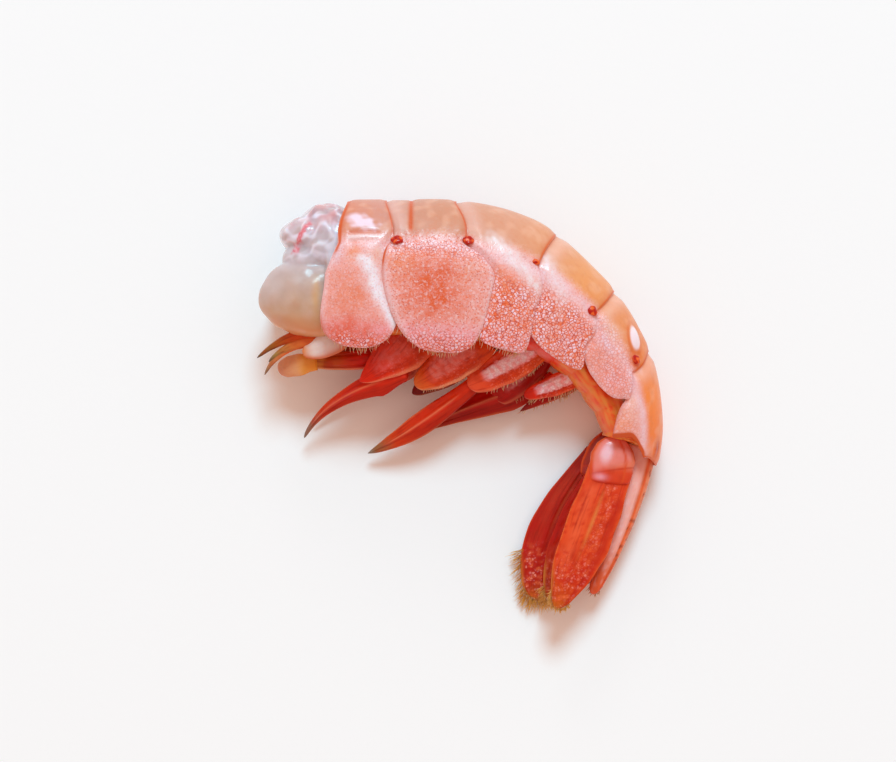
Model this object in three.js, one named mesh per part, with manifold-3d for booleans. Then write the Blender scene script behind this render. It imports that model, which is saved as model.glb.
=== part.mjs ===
// A raw spot prawn tail with its head taken off, lying on its right flank: the muscle that shows at the
// cut end and runs down the body, six shell rings that lap over each other, the telson, the folded tail
// fan, the five pairs of swimming legs and what is left of the last walking leg.
//
// Lengths are in millimetres. +X runs from the cut end towards the tail, +Y towards the back, and +Z up
// from the surface under the right flank. The body is drawn round its axis: "at" is a distance along that
// axis from the front of the first shell, and an angle of 0 is the back, 90 the flank and 180 the belly.
import * as THREE from "three";
import { LoftGeometry } from "three/addons/geometries/LoftGeometry.js";
import { mergeVertices } from "three/addons/utils/BufferGeometryUtils.js";
import Module from "manifold-3d";

const RAD = Math.PI / 180;

// The middle of the box round the whole prawn, in the coordinates that it is drawn in.
const CENTRE = { x: 0.37, y: -0.34 };

// Where the axis starts, and the body at stations along it: the way the axis heads in degrees, how far the
// back and the belly are from it, how deep the side flaps of the shell would reach, half the width, and the
// angle from which the belly is bare of shell.
const AXIS_START = { x: -18.8, y: 22.5 };
const STATIONS = [
  { at: -14, heading: 0.5, back: 11.0, belly: 10.2, flap: 14.0, half: 8.2, open: 144 },
  { at: 0, heading: 1.5, back: 12.1, belly: 10.9, flap: 15.0, half: 8.8, open: 144 },
  { at: 10, heading: 0, back: 12.1, belly: 11.2, flap: 15.2, half: 9.0, open: 146 },
  { at: 20, heading: -8, back: 12.2, belly: 11.2, flap: 15.4, half: 9.0, open: 146 },
  { at: 29, heading: -19, back: 11.5, belly: 10.6, flap: 15.0, half: 8.6, open: 132 },
  { at: 36, heading: -33, back: 9.3, belly: 9.6, flap: 13.6, half: 8.1, open: 130 },
  { at: 42, heading: -45, back: 8.3, belly: 8.4, flap: 12.0, half: 7.6, open: 122 },
  { at: 48, heading: -55, back: 7.5, belly: 7.2, flap: 10.0, half: 7.0, open: 112 },
  { at: 54, heading: -65, back: 6.6, belly: 6.3, flap: 8.4, half: 6.4, open: 106 },
  { at: 60, heading: -76, back: 5.4, belly: 5.2, flap: 6.6, half: 5.8, open: 106 },
  { at: 66, heading: -91, back: 4.4, belly: 4.8, flap: 5.6, half: 5.0, open: 110 },
  { at: 72, heading: -104, back: 3.6, belly: 4.2, flap: 5.0, half: 4.4, open: 110 },
  { at: 80, heading: -112, back: 3.2, belly: 3.4, flap: 4.2, half: 3.8, open: 110 },
];

// The shell is thin, and laps over the next ring with a small gap.
const SHELL = 0.7;
const GAP = 0.35;
const STEP = SHELL + GAP;
const RISE = 2.2;
// How much the flank is pressed flat by its own weight.
const PRESSED = 0.3;

// Each ring's front and rear margin, as "at", on the back, at the hinge and on the flank, how sharply they
// "bend" from the hinge to the flank, and how far they sweep back with each degree below it. From the angle
// "round" to the angle "hem" the flap narrows to its lowest point, at "tip". A higher "lobe" makes squarer
// corners.
const HINGE = 66;
const FLANK = 91;
const RINGS = [
  {
    back: [-0.4, 6.3], hinge: [-1.9, 7.5], flank: [-4.3, 8.6], sweep: [-0.07, 0], bend: [1, 1.3],
    tip: 1.6, round: 98, hem: 138, lobe: 1.9,
  },
  {
    back: [4.2, 17.1], hinge: [8.2, 19.2], flank: [5.6, 24.9], sweep: [0.09, 0], bend: [2.6, 1.9],
    tip: 16, round: 98, hem: 141, lobe: 2.8,
  },
  {
    back: [15.0, 31.6], hinge: [17.0, 31.0], flank: [21.6, 33.4], sweep: [0, 0.12], bend: [2.4, 1.6],
    tip: 34, round: 106, hem: 127, lobe: 2.4,
  },
  {
    back: [29.5, 42.0], hinge: [28.2, 42.2], flank: [29.6, 44.8], sweep: [0.2, 0.3], bend: [2, 2],
    tip: 42.5, round: 98, hem: 114, lobe: 1.8,
  },
  {
    back: [40.0, 51.8], hinge: [39.6, 53.4], flank: [42.0, 57.6], sweep: [0.2, 0.1], bend: [2, 2],
    tip: 51, round: 80, hem: 102, lobe: 1.9,
  },
  {
    back: [49.8, 68.4], hinge: [50.6, 67.2], flank: [54.6, 63.8], sweep: [0, 0], bend: [2, 0.95],
    tip: 63.6, round: 76, hem: 112, lobe: 1.1,
  },
];

const clamp = (x, low, high) => Math.min(high, Math.max(low, x));
const ease = (x) => THREE.MathUtils.smoothstep(x, 0, 1);
const mix = THREE.MathUtils.lerp;
const rootOf = (x, power) => Math.sign(x) * Math.abs(x) ** power;

// One measure of the body at a place on the axis: a smooth cubic from station to station.
function bodyAt(key, at) {
  const last = STATIONS.length - 1;
  const i = clamp(STATIONS.findIndex((s) => s.at > at) - 1, 0, last - 1);
  const index = at >= STATIONS[last].at ? last - 1 : i;
  const slope = (j) => {
    const a = STATIONS[Math.max(j - 1, 0)];
    const b = STATIONS[Math.min(j + 1, last)];
    return (b[key] - a[key]) / (b.at - a.at);
  };
  const [p, q] = [STATIONS[index], STATIONS[index + 1]];
  const span = q.at - p.at;
  const t = (at - p.at) / span;
  const rise = slope(index) * span;
  const fall = slope(index + 1) * span;
  return (
    (2 * t ** 3 - 3 * t ** 2 + 1) * p[key] +
    (t ** 3 - 2 * t ** 2 + t) * rise +
    (3 * t ** 2 - 2 * t ** 3) * q[key] +
    (t ** 3 - t ** 2) * fall
  );
}

// The axis itself: its heading added up in small steps, both ways from the front of the first shell.
const AXIS_STEP = 0.25;
const axisPoints = new Map([[0, new THREE.Vector2(AXIS_START.x, AXIS_START.y)]]);
for (const way of [1, -1]) {
  const point = axisPoints.get(0).clone();
  for (let k = 1; k * AXIS_STEP <= 80; k++) {
    const heading = bodyAt("heading", way * (k - 0.5) * AXIS_STEP) * RAD;
    point.x += way * AXIS_STEP * Math.cos(heading);
    point.y += way * AXIS_STEP * Math.sin(heading);
    axisPoints.set(way * k, point.clone());
  }
}

function axisAt(at) {
  const k = Math.floor(at / AXIS_STEP);
  return axisPoints.get(k).clone().lerp(axisPoints.get(k + 1), at / AXIS_STEP - k);
}

// The axis's height: the fullest part of the flank, its shell included, is pressed a little into the surface.
const liftAt = (at) => bodyAt("half", at) + STEP - PRESSED;

// How round the section is: 2 would be an ellipse, and more is squarer.
const SQUARE = { back: 2.1, belly: 2.4, flap: 3.0 };

// A point of the body, with "level" added all round its section. Nothing goes below the height that is left
// for the layers outside it.
function skin(at, angle, level, below = "belly") {
  const [c, s] = [Math.cos(angle * RAD), Math.sin(angle * RAD)];
  const side = c >= 0 ? "back" : below;
  const depth = (bodyAt(side, at) + level) * rootOf(c, 2 / SQUARE[side]);
  const across = (bodyAt("half", at) + level) * rootOf(s, 2 / SQUARE[side]);
  const heading = bodyAt("heading", at) * RAD;
  const centre = axisAt(at);
  return new THREE.Vector3(
    centre.x - Math.sin(heading) * depth,
    centre.y + Math.cos(heading) * depth,
    Math.max(liftAt(at) + across, STEP - level),
  );
}

const wasm = await Module();
wasm.setup();

// The bare closed surface of a three.js geometry, its shared vertices merged.
function closed(source) {
  const geometry = new THREE.BufferGeometry();
  geometry.setAttribute("position", source.getAttribute("position"));
  geometry.setIndex(source.index);
  return mergeVertices(geometry, 1e-4);
}

// A closed solid through rings of points.
const lofted = (sections) => closed(new LoftGeometry(sections, { capStart: true, capEnd: true }));

function solidOf(geometry) {
  const mesh = new wasm.Mesh({
    numProp: 3,
    vertProperties: new Float32Array(geometry.getAttribute("position").array),
    triVerts: new Uint32Array(geometry.index.array),
  });
  return new wasm.Manifold(mesh);
}

function geometryOf(solid) {
  const mesh = solid.getMesh();
  const geometry = new THREE.BufferGeometry();
  geometry.setAttribute("position", new THREE.BufferAttribute(mesh.vertProperties, 3));
  geometry.setIndex(new THREE.BufferAttribute(mesh.triVerts, 1));
  return geometry;
}

const joined = (geometries) => geometries.map(solidOf).reduce((a, b) => a.add(b));

// A ring's front (0) or rear (1) margin at an angle from the back.
function margin(ring, end, angle) {
  const a = Math.abs(angle);
  let at = ring.back[end];
  at += (ring.hinge[end] - ring.back[end]) * ease((a - 12) / (HINGE - 18));
  const below = clamp((a - HINGE - 1) / (FLANK - HINGE - 1), 0, 1);
  at += (ring.flank[end] - ring.hinge[end]) * (1 - (1 - below) ** ring.bend[end]);
  at += ring.sweep[end] * Math.max(a - FLANK, 0);
  const share = clamp((a - ring.round) / (ring.hem - ring.round), 0, 1) * 0.985;
  return share > 0 ? mix(ring.tip, at, (1 - share ** ring.lobe) ** (1 / ring.lobe)) : at;
}

// How far the ring's outer face stands above the body: down where a neighbour laps over it, up elsewhere.
// The second ring's flaps lie over both neighbours. They begin to lift so many degrees above the hinge.
const LIFTED = 16;
function levelOf(index, at, angle) {
  const a = Math.abs(angle);
  const flank = ease((a - HINGE + LIFTED) / 12);
  const before = index === 0 ? -Infinity : margin(RINGS[index - 1], 1, angle);
  const fromFront = index === 0 ? 1 : ease((at - before) / RISE);
  let level = STEP * fromFront;
  if (index === 1) level = mix(level, STEP, flank);
  if (index === 0) {
    const next = margin(RINGS[1], 0, angle);
    level = mix(level, STEP * ease((next - 0.2 - at) / RISE), flank);
  }
  return level;
}

// The angles of a ring's sections from the back to the hem, closer together where the flap is rounded off.
const RING_STEPS = 7;
const HEM_STEPS = 6;
const UPPER_ANGLES = [0, 18, 34, 48, 58, HINGE, 74, 83, FLANK, 98];
function ringAngles({ round, hem }) {
  const angles = UPPER_ANGLES.filter((angle) => angle < round - 3);
  for (let k = 0; k <= HEM_STEPS; k++) angles.push(mix(round, hem, Math.sin((k / HEM_STEPS) * 90 * RAD)));
  return [...angles.slice(1).reverse(), ...angles.map((a) => -a)];
}

function ringShell(index) {
  const ring = RINGS[index];
  const sections = [];
  for (const angle of ringAngles(ring)) {
    const [front, rear] = [margin(ring, 0, angle), margin(ring, 1, angle)];
    const outer = [];
    const inner = [];
    for (let i = 0; i <= RING_STEPS; i++) {
      const at = mix(front, rear, i / RING_STEPS);
      const level = levelOf(index, at, angle);
      outer.push(skin(at, angle, level, "flap"));
      inner.push(skin(at, angle, level - SHELL, "flap"));
    }
    sections.push([...outer, ...inner.reverse()]);
  }
  return lofted(sections);
}

// The muscle: a tube inside the shell, which shows on the belly, and the lobes that bulge out at the cut. A
// lobe is given as how far it reaches along, deep and wide, and "across" is how far it is off the middle.
const MEAT = { front: -4, rear: 64.7, aslant: 1.6, steps: 30, sides: 24 };
const CUT_LOBES = [
  { at: -2.8, depth: 4.8, across: 2.4, along: 6.6, deep: 6.8, wide: 4.6 },
  { at: -2.6, depth: 4.8, across: -2.4, along: 6.2, deep: 6.6, wide: 4.6 },
  { at: -4.2, depth: 7.3, across: 0, along: 5.6, deep: 5.2, wide: 6.2 },
  { at: -7.4, depth: 7.0, across: 0.8, along: 5.2, deep: 3.2, wide: 5.6 },
  { at: -7.0, depth: 2.6, across: 1.6, along: 5.0, deep: 4.2, wide: 5.0 },
  { at: -6.8, depth: -3.9, across: 3.4, along: 9.2, deep: 6.9, wide: 4.8 },
  { at: -6.2, depth: -3.9, across: -3.4, along: 8.4, deep: 6.6, wide: 4.6 },
];
const BARE_RISE = 14;
const bare = (at, angle) => ease((Math.abs(angle) - bodyAt("open", at)) / BARE_RISE);

// A solid round the axis, from one place on it to another that can differ with the angle.
function tube(from, rear, level) {
  const sections = [];
  for (let i = 0; i <= MEAT.steps; i++) {
    const loop = [];
    for (let j = 0; j < MEAT.sides; j++) {
      const angle = (j / MEAT.sides) * 360 - 180;
      const at = mix(from, rear(angle), i / MEAT.steps);
      loop.push(skin(at, angle, level(at, angle)));
    }
    sections.push(loop);
  }
  return lofted(sections);
}

function lobe({ at, depth, across, along, deep, wide }, clear) {
  const geometry = new THREE.SphereGeometry(1, 14, 9);
  geometry.scale(along + clear, deep + clear, wide + clear);
  geometry.rotateZ(bodyAt("heading", at) * RAD);
  const centre = axisAt(at);
  geometry.translate(centre.x, centre.y + depth, liftAt(at) + across);
  return closed(geometry);
}

// The muscle itself, or, grown by "clear", the room that its neighbours leave for it.
function muscle(clear) {
  const rear = (angle) => MEAT.rear + MEAT.aslant * Math.cos(angle * RAD) + 2 * clear;
  const level = (at, angle) => clear - STEP * (1 - bare(at, angle));
  return joined([tube(MEAT.front, rear, level), ...CUT_LOBES.map((size) => lobe(size, clear))]);
}

// The room that the last ring takes up, its belly left free. The telson stays clear of its edge.
const TELSON_GAP = 0.6;
function lastRingRoom() {
  const ring = RINGS[RINGS.length - 1];
  const rear = (angle) => margin(ring, 1, angle) + TELSON_GAP;
  const level = (at, angle) => GAP + STEP * (1 - bare(at, angle));
  return solidOf(tube(ring.back[0], rear, level));
}

// A flattened limb: a lens-shaped section carried along a curve from its root to its tip. "root" and "tip"
// are how wide its ends are beside its widest place, and a higher "blunt" makes a rounder outer end.
function leaf({ path, width, thick, root, tip, blunt, widest = 0.35, steps = 8, sides = 8 }) {
  const curve = new THREE.QuadraticBezierCurve3(...path.map((p) => new THREE.Vector3(...p)));
  const sections = [];
  for (let i = 0; i <= steps; i++) {
    const t = Math.sin((i / steps) * 90 * RAD);
    const along = curve.getTangent(t);
    const side = new THREE.Vector3(-along.y, along.x, 0).normalize();
    const normal = new THREE.Vector3().crossVectors(along, side);
    const beyond = clamp((t - widest) / (1 - widest), 0, 1);
    const swell = t < widest ? mix(root, 1, ease(t / widest)) : 1 - (1 - tip) * beyond ** blunt;
    const loop = [];
    for (let j = 0; j < sides; j++) {
      const turn = (j / sides) * 2 * Math.PI;
      loop.push(
        curve
          .getPoint(t)
          .addScaledVector(side, (width / 2) * swell * Math.cos(turn))
          .addScaledVector(normal, (thick / 2) * mix(1, 0.5, t) * Math.sin(turn)),
      );
    }
    sections.push(loop);
  }
  return lofted(sections);
}

// The swimming legs, as the leaves that each is made of: the points of its path are its root, its bend and
// its tip. Left legs lie on top, and right ones under them. The stub is what is left of a walking leg.
const LEGS = {
  leg_left_1: [
    {
      path: [[-9.5, 10.5, 8.6], [-14, 6.6, 9.4], [-26.3, 7.5, 10.4]],
      width: 3.6, thick: 2, root: 0.9, tip: 0.7, blunt: 2,
    },
    {
      path: [[-24.8, 7.1, 10.5], [-28.7, 6.8, 9.2], [-32, 5.8, 7]],
      width: 3.9, thick: 1.4, root: 0.7, tip: 0.4, widest: 0.5, blunt: 3,
    },
  ],
  leg_stub: [
    {
      path: [[-17.7, 14.5, 12.4], [-21.5, 9.6, 13.8], [-27.4, 8.9, 12.4]],
      width: 4.2, thick: 1.5, root: 0.9, tip: 0.45, widest: 0.5, blunt: 2.2,
    },
    {
      path: [[-20.6, 12.5, 12.9], [-29.3, 13.2, 13], [-35.5, 7.9, 9.8]],
      width: 2.4, thick: 1.2, root: 0.9, tip: 0.15, widest: 0.3, blunt: 1.2,
    },
    {
      path: [[-20.8, 11.7, 12.6], [-31, 11.6, 12.4], [-34.2, 4.9, 9.6]],
      width: 2.2, thick: 1.1, root: 0.9, tip: 0.15, widest: 0.3, blunt: 1.2,
    },
    {
      path: [[-22.3, 11, 12.8], [-30.2, 10.9, 12.5], [-33.4, 7.2, 10.4]],
      width: 2, thick: 1.1, root: 0.9, tip: 0.15, widest: 0.3, blunt: 1.2,
    },
  ],
  leg_left_2: [
    {
      path: [[-7.2, 13.5, 11], [-9.8, 8.9, 13.2], [-17.4, 3.8, 10.7]],
      width: 9.6, thick: 2.2, root: 1, tip: 0.12, widest: 0.4, blunt: 1.3,
    },
    {
      path: [[-8.8, 4.9, 11.3], [-23.8, 1.6, 8.4], [-27.6, -6.3, 3.2]],
      width: 5, thick: 1.5, root: 0.4, tip: 0.1, widest: 0.2, blunt: 0.6,
    },
  ],
  leg_left_3: [
    {
      path: [[3.6, 11.9, 11.4], [-0.2, 7.2, 12.4], [-7.8, 3.1, 9.2]],
      width: 8, thick: 2, root: 1, tip: 0.3, widest: 0.35, blunt: 1.8,
    },
  ],
  leg_left_4: [
    {
      path: [[15.3, 10.2, 10.6], [10, 7.2, 12], [1.6, 3, 9.8]],
      width: 6, thick: 2, root: 0.7, tip: 0.5, widest: 0.5, blunt: 2.6,
    },
    {
      path: [[3.4, 4, 9.2], [-7.4, -5.3, 6], [-16.3, -9.1, 2.6]],
      width: 4.2, thick: 1.5, root: 0.7, tip: 0.08, widest: 0.45, blunt: 1.5,
    },
  ],
  leg_left_5: [
    {
      path: [[22.4, 5.4, 8.4], [17.8, 3.3, 9.4], [11.5, 1.2, 7.6]],
      width: 3.8, thick: 1.8, root: 0.8, tip: 0.4, widest: 0.4, blunt: 2.2,
    },
  ],
  leg_right_1: [
    {
      path: [[-15.4, 12.9, 6], [-19, 7.9, 5.6], [-24.4, 7.6, 4]],
      width: 3.2, thick: 1.8, root: 0.9, tip: 0.4, blunt: 2,
    },
  ],
  leg_right_2: [
    {
      path: [[-7, 13.3, 6], [-9.8, 9, 6], [-14.6, 4.8, 4.6]],
      width: 9.4, thick: 2, root: 0.9, tip: 0.45, widest: 0.5, blunt: 2.4,
    },
    {
      path: [[-11.4, 5, 4.8], [-20.5, 1.6, 3.6], [-26, -3.8, 1.6]],
      width: 2.8, thick: 1.3, root: 0.8, tip: 0.1, widest: 0.25, blunt: 0.8,
    },
  ],
  leg_right_3: [
    {
      path: [[3.8, 12, 5], [0.4, 6.8, 5.4], [-8.3, 1.6, 4.6]],
      width: 7, thick: 2, root: 0.9, tip: 0.2, widest: 0.4, blunt: 1.6,
    },
  ],
  leg_right_4: [
    {
      path: [[15.5, 10.3, 4.6], [11.3, 5.5, 5], [6, 1.2, 3.6]],
      width: 7.4, thick: 1.8, root: 0.8, tip: 0.6, widest: 0.5, blunt: 2.6,
    },
    {
      path: [[17.4, 4.2, 4.2], [5, 0.6, 3.2], [-9.6, -5.8, 1.8]],
      width: 6, thick: 1.3, root: 0.5, tip: 0.1, widest: 0.35, blunt: 1.1,
    },
  ],
  leg_right_5: [
    {
      path: [[22.7, 5.1, 6], [18, 2.8, 6.6], [10.9, -1.5, 5.8]],
      width: 3.6, thick: 1.3, root: 0.8, tip: 0.1, widest: 0.4, blunt: 1.4,
    },
  ],
};

// The telson, and on each side of it a stalk with an outer and an inner blade.
const FAN = {
  telson: [
    {
      path: [[31.8, -8.4, 4.8], [29.8, -21.2, 4.8], [23.7, -34.1, 4.4]],
      width: 6.8, thick: 4.4, root: 1, tip: 0.3, widest: 0.1, blunt: 1.1,
    },
  ],
  uropod_left: [
    {
      path: [[28.2, -5.9, 7.8], [27, -9.4, 8.8], [26.5, -14.4, 8.8]],
      width: 8, thick: 3.4, root: 0.8, tip: 0.85, widest: 0.4, blunt: 2,
    },
    {
      path: [[27.2, -10.6, 9], [23.1, -23, 9.8], [17.1, -36.4, 8.6]],
      width: 8.8, thick: 1.3, root: 0.88, tip: 0.2, widest: 0.4, blunt: 2.8,
    },
    {
      path: [[26.2, -11.9, 7.8], [24, -22.5, 7.7], [18.8, -34, 7.1]],
      width: 5.2, thick: 1.2, root: 0.7, tip: 0.2, widest: 0.5, blunt: 3,
    },
  ],
  uropod_right: [
    {
      path: [[29.1, -4.9, 3.4], [25.6, -8.5, 2.6], [23.8, -13.9, 2.6]],
      width: 6.4, thick: 3, root: 0.6, tip: 0.7, widest: 0.5, blunt: 2,
    },
    {
      path: [[24.9, -8.5, 2.2], [14.7, -21.1, 1.8], [13.9, -35.4, 1.6]],
      width: 7.9, thick: 1.2, root: 0.5, tip: 0.3, widest: 0.6, blunt: 3.4,
    },
    {
      path: [[25.9, -10.6, 3.8], [19.8, -22.7, 3.8], [16.3, -35.6, 3.6]],
      width: 6.6, thick: 1.2, root: 0.6, tip: 0.2, widest: 0.5, blunt: 3.2,
    },
  ],
};

const MATERIALS = {
  shell: new THREE.MeshStandardMaterial({ color: "#ee9a80", roughness: 0.3, metalness: 0 }),
  muscle: new THREE.MeshStandardMaterial({ color: "#cdb5a6", roughness: 0.35, metalness: 0 }),
  legs: new THREE.MeshStandardMaterial({ color: "#d2452a", roughness: 0.35, metalness: 0 }),
  fan: new THREE.MeshStandardMaterial({ color: "#d8442c", roughness: 0.35, metalness: 0 }),
};

const prawn = new THREE.Group();

function add(name, geometry, material) {
  const mesh = new THREE.Mesh(geometry, MATERIALS[material]);
  mesh.name = name;
  prawn.add(mesh);
}

add("muscle", geometryOf(muscle(0)), "muscle");
RINGS.forEach((ring, index) => add(`shell_${index + 1}`, ringShell(index), "shell"));
const meatRoom = muscle(GAP);
const bodyRoom = meatRoom.add(lastRingRoom());
for (const [name, leaves] of Object.entries(LEGS))
  add(name, geometryOf(joined(leaves.map(leaf)).subtract(meatRoom)), "legs");
for (const [name, leaves] of Object.entries(FAN))
  add(name, geometryOf(joined(leaves.map(leaf)).subtract(bodyRoom)), "fan");

// The middle of the whole prawn's box goes to the origin.
prawn.position.set(-CENTRE.x, -CENTRE.y, 0);

export default prawn;
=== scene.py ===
import math

import bmesh
import bpy
import numpy as np
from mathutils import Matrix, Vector


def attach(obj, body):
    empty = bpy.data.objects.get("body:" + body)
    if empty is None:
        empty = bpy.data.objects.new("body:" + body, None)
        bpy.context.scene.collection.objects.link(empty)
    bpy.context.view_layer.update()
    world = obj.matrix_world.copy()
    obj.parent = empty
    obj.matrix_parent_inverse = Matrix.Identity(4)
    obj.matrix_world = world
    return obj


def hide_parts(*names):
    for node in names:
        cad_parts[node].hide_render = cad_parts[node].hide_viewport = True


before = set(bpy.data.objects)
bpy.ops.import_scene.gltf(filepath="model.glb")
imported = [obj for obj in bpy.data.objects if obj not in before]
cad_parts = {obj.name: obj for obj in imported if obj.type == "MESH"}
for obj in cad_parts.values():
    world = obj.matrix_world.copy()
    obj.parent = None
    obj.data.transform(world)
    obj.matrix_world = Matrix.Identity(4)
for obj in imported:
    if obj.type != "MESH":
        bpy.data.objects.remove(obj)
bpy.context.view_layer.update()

# The table top and its light.
# The prawn lies on a matt white laminate top. A wide window behind its back lights it from halfway up, a
# narrow one lower down gives the wet highlights, and warm light thrown back by the room fills the shadows.
# A pattern's scale, here and further on, is the number of its marks to a metre.
MM = 0.001
TOP_SIZE = 4.0
TOP_GAP = 0.02 * MM
TOP_WHITE = "#fbfbfb"
ROOM_WARMTH = "#ffd7c4"
ROOM_SHARE = 0.72
WINDOW_DISTANCE = 5.0
GRAIN_SCALE = 700


def linear(code):
    """Linear RGBA of an sRGB hex colour: each channel's sRGB curve undone."""
    share = np.array([int(code[place:place + 2], 16) for place in (1, 3, 5)]) / 255
    return (*np.where(share <= 0.04045, share / 12.92, ((share + 0.055) / 1.055) ** 2.4), 1.0)


def add_node(tree, kind, inputs=None, **settings):
    """Adds a shader node with its settings. Each input, by name or number, gets a value or another node's
    output, and a node given whole stands for its first output."""
    made = tree.nodes.new("ShaderNode" + kind)
    for name, value in settings.items():
        setattr(made, name, value)
    for name, value in (inputs or {}).items():
        if isinstance(value, bpy.types.Node):
            value = value.outputs[0]
        if isinstance(value, bpy.types.NodeSocket):
            tree.links.new(value, made.inputs[name])
        else:
            made.inputs[name].default_value = value
    return made


def new_material(name):
    """An empty node material and its tree."""
    material = bpy.data.materials.new(name)
    material.use_nodes = True
    material.node_tree.nodes.clear()
    return material, material.node_tree


def white_laminate():
    """Satin laminate: almost white, evenly rough, with a faint unevenness of its surface."""
    material, tree = new_material("white_laminate")
    place = add_node(tree, "TexCoord").outputs["Object"]
    grain = add_node(tree, "TexNoise", {"Vector": place, "Scale": GRAIN_SCALE, "Detail": 2})
    bump = add_node(tree, "Bump", {"Height": grain, "Strength": 0.05, "Distance": 0.0002})
    inputs = {"Base Color": linear(TOP_WHITE), "Roughness": 0.75, "Normal": bump}
    shader = add_node(tree, "BsdfPrincipled", inputs)
    add_node(tree, "OutputMaterial", {"Surface": shader})
    return material


def add_window(name, azimuth, elevation, spread, share, code):
    """A round light, far away, that fills "spread" degrees of the prawn's sky. The irradiance that gives a
    white top "share" of full brightness is pi times the share. Over the light's solid angle and the sine of
    its elevation that is its radiance, and its power is pi times its area times its radiance."""
    side = 2 * WINDOW_DISTANCE * math.tan(math.radians(spread / 2))
    solid_angle = 2 * math.pi * (1 - math.cos(math.radians(spread / 2)))
    radiance = math.pi * share / (solid_angle * math.sin(math.radians(elevation)))
    light = bpy.data.lights.new(name, "AREA")
    light.shape = "DISK"
    light.size = side
    light.energy = math.pi * math.pi / 4 * side**2 * radiance
    light.color = linear(code)[:3]
    lamp = bpy.data.objects.new(name, light)
    level = math.cos(math.radians(elevation))
    way = Vector((
        level * math.cos(math.radians(azimuth)),
        level * math.sin(math.radians(azimuth)),
        math.sin(math.radians(elevation)),
    ))
    lamp.location = way * WINDOW_DISTANCE
    lamp.rotation_mode = "QUATERNION"
    lamp.rotation_quaternion = (-way).to_track_quat("-Z", "Y")
    scene.collection.objects.link(lamp)


scene = bpy.context.scene
scene.view_settings.view_transform = "Standard"
corner = TOP_SIZE / 2
top_mesh = bpy.data.meshes.new("table_top")
top_corners = [(x, y, -TOP_GAP) for x, y in ((-1, -1), (1, -1), (1, 1), (-1, 1))]
top_mesh.from_pydata([(x * corner, y * corner, z) for x, y, z in top_corners], [], [(0, 1, 2, 3)])
top_mesh.materials.append(white_laminate())
table_top = bpy.data.objects.new("table_top", top_mesh)
scene.collection.objects.link(table_top)

room = bpy.data.worlds.new("room")
room.use_nodes = True
room.node_tree.nodes["Background"].inputs["Color"].default_value = linear(ROOM_WARMTH)
room.node_tree.nodes["Background"].inputs["Strength"].default_value = ROOM_SHARE
scene.world = room
add_window("wide_window", azimuth=85, elevation=46, spread=20, share=0.562, code="#b0ebff")
add_window("low_window", azimuth=97, elevation=21, spread=14, share=0.02, code="#ffffff")

# The camera.
# It looks straight down. One pixel of the 896 pixel wide picture is 0.175 mm at the height of the flank.
PICTURE_WIDTH = 896
PIXEL = 0.175
FLANK_HEIGHT = 12
CAMERA_HEIGHT = 436
CAMERA_OVER = (-2.295, 4.19)

camera_data = bpy.data.cameras.new("camera")
camera_data.lens = camera_data.sensor_width * (CAMERA_HEIGHT - FLANK_HEIGHT) / (PICTURE_WIDTH * PIXEL)
camera = bpy.data.objects.new("camera", camera_data)
camera.location = (CAMERA_OVER[0] * MM, CAMERA_OVER[1] * MM, CAMERA_HEIGHT * MM)
scene.collection.objects.link(camera)
scene.camera = camera

# The form of the body.
# The tail is one bent tube of muscle under shell rings. "at" is a distance in mm along its axis from the
# front of the first ring, and an angle of 0 is the back, 90 the left flank and 180 the belly. Points are in
# mm, and CENTRE is the middle of the box round them.
CENTRE = np.array([0.37, -0.34, 0])
AXIS_START = (-18.8, 22.5)
MEASURES = ("at", "heading", "back", "belly", "flap", "half", "open")
STATIONS = np.array([
    (-14, 0.5, 11.0, 10.2, 14.0, 8.2, 144),
    (0, 1.5, 12.1, 10.9, 15.0, 8.8, 144),
    (10, 0, 12.1, 11.2, 15.2, 9.0, 146),
    (20, -8, 12.2, 11.2, 15.4, 9.0, 146),
    (29, -19, 11.5, 10.6, 15.0, 8.6, 132),
    (36, -33, 9.3, 9.6, 13.6, 8.1, 130),
    (42, -45, 8.3, 8.4, 12.0, 7.6, 122),
    (48, -55, 7.5, 7.2, 10.0, 7.0, 112),
    (54, -65, 6.6, 6.3, 8.4, 6.4, 106),
    (60, -76, 5.4, 5.2, 6.6, 5.8, 106),
    (66, -91, 4.4, 4.8, 5.6, 5.0, 110),
    (72, -104, 3.6, 4.2, 5.0, 4.4, 110),
    (80, -112, 3.2, 3.4, 4.2, 3.8, 110),
])
SHELL = 0.7
GAP = 0.35
STEP = SHELL + GAP
PRESSED = 0.3
SQUARE = {"back": 2.1, "belly": 2.4, "flap": 3.0}
AXIS_STEP = 0.25
AXIS_END = 80


def ease(x):
    """A smooth rise from 0 to 1: 3x^2 - 2x^3 between 0 and 1."""
    x = np.clip(x, 0, 1)
    return x * x * (3 - 2 * x)


def mix(a, b, share):
    """From a to b by share."""
    return a + (b - a) * share


def hill(x, reach):
    """A bell curve: 1 at 0, and 0.37 where x is the reach."""
    return np.exp(-((x / reach) ** 2))


def body_at(measure, at):
    """One measure of the body: a cubic from station to station, with each station's slope that of the line
    between its neighbours."""
    places = STATIONS[:, 0]
    values = STATIONS[:, MEASURES.index(measure)]
    before = np.maximum(np.arange(len(places)) - 1, 0)
    after = np.minimum(np.arange(len(places)) + 1, len(places) - 1)
    slope = (values[after] - values[before]) / (places[after] - places[before])
    i = np.clip(np.searchsorted(places, at, side="right") - 1, 0, len(places) - 2)
    span = places[i + 1] - places[i]
    t = (at - places[i]) / span
    return (
        (2 * t**3 - 3 * t**2 + 1) * values[i]
        + (t**3 - 2 * t**2 + t) * slope[i] * span
        + (3 * t**2 - 2 * t**3) * values[i + 1]
        + (t**3 - t**2) * slope[i + 1] * span
    )


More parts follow.
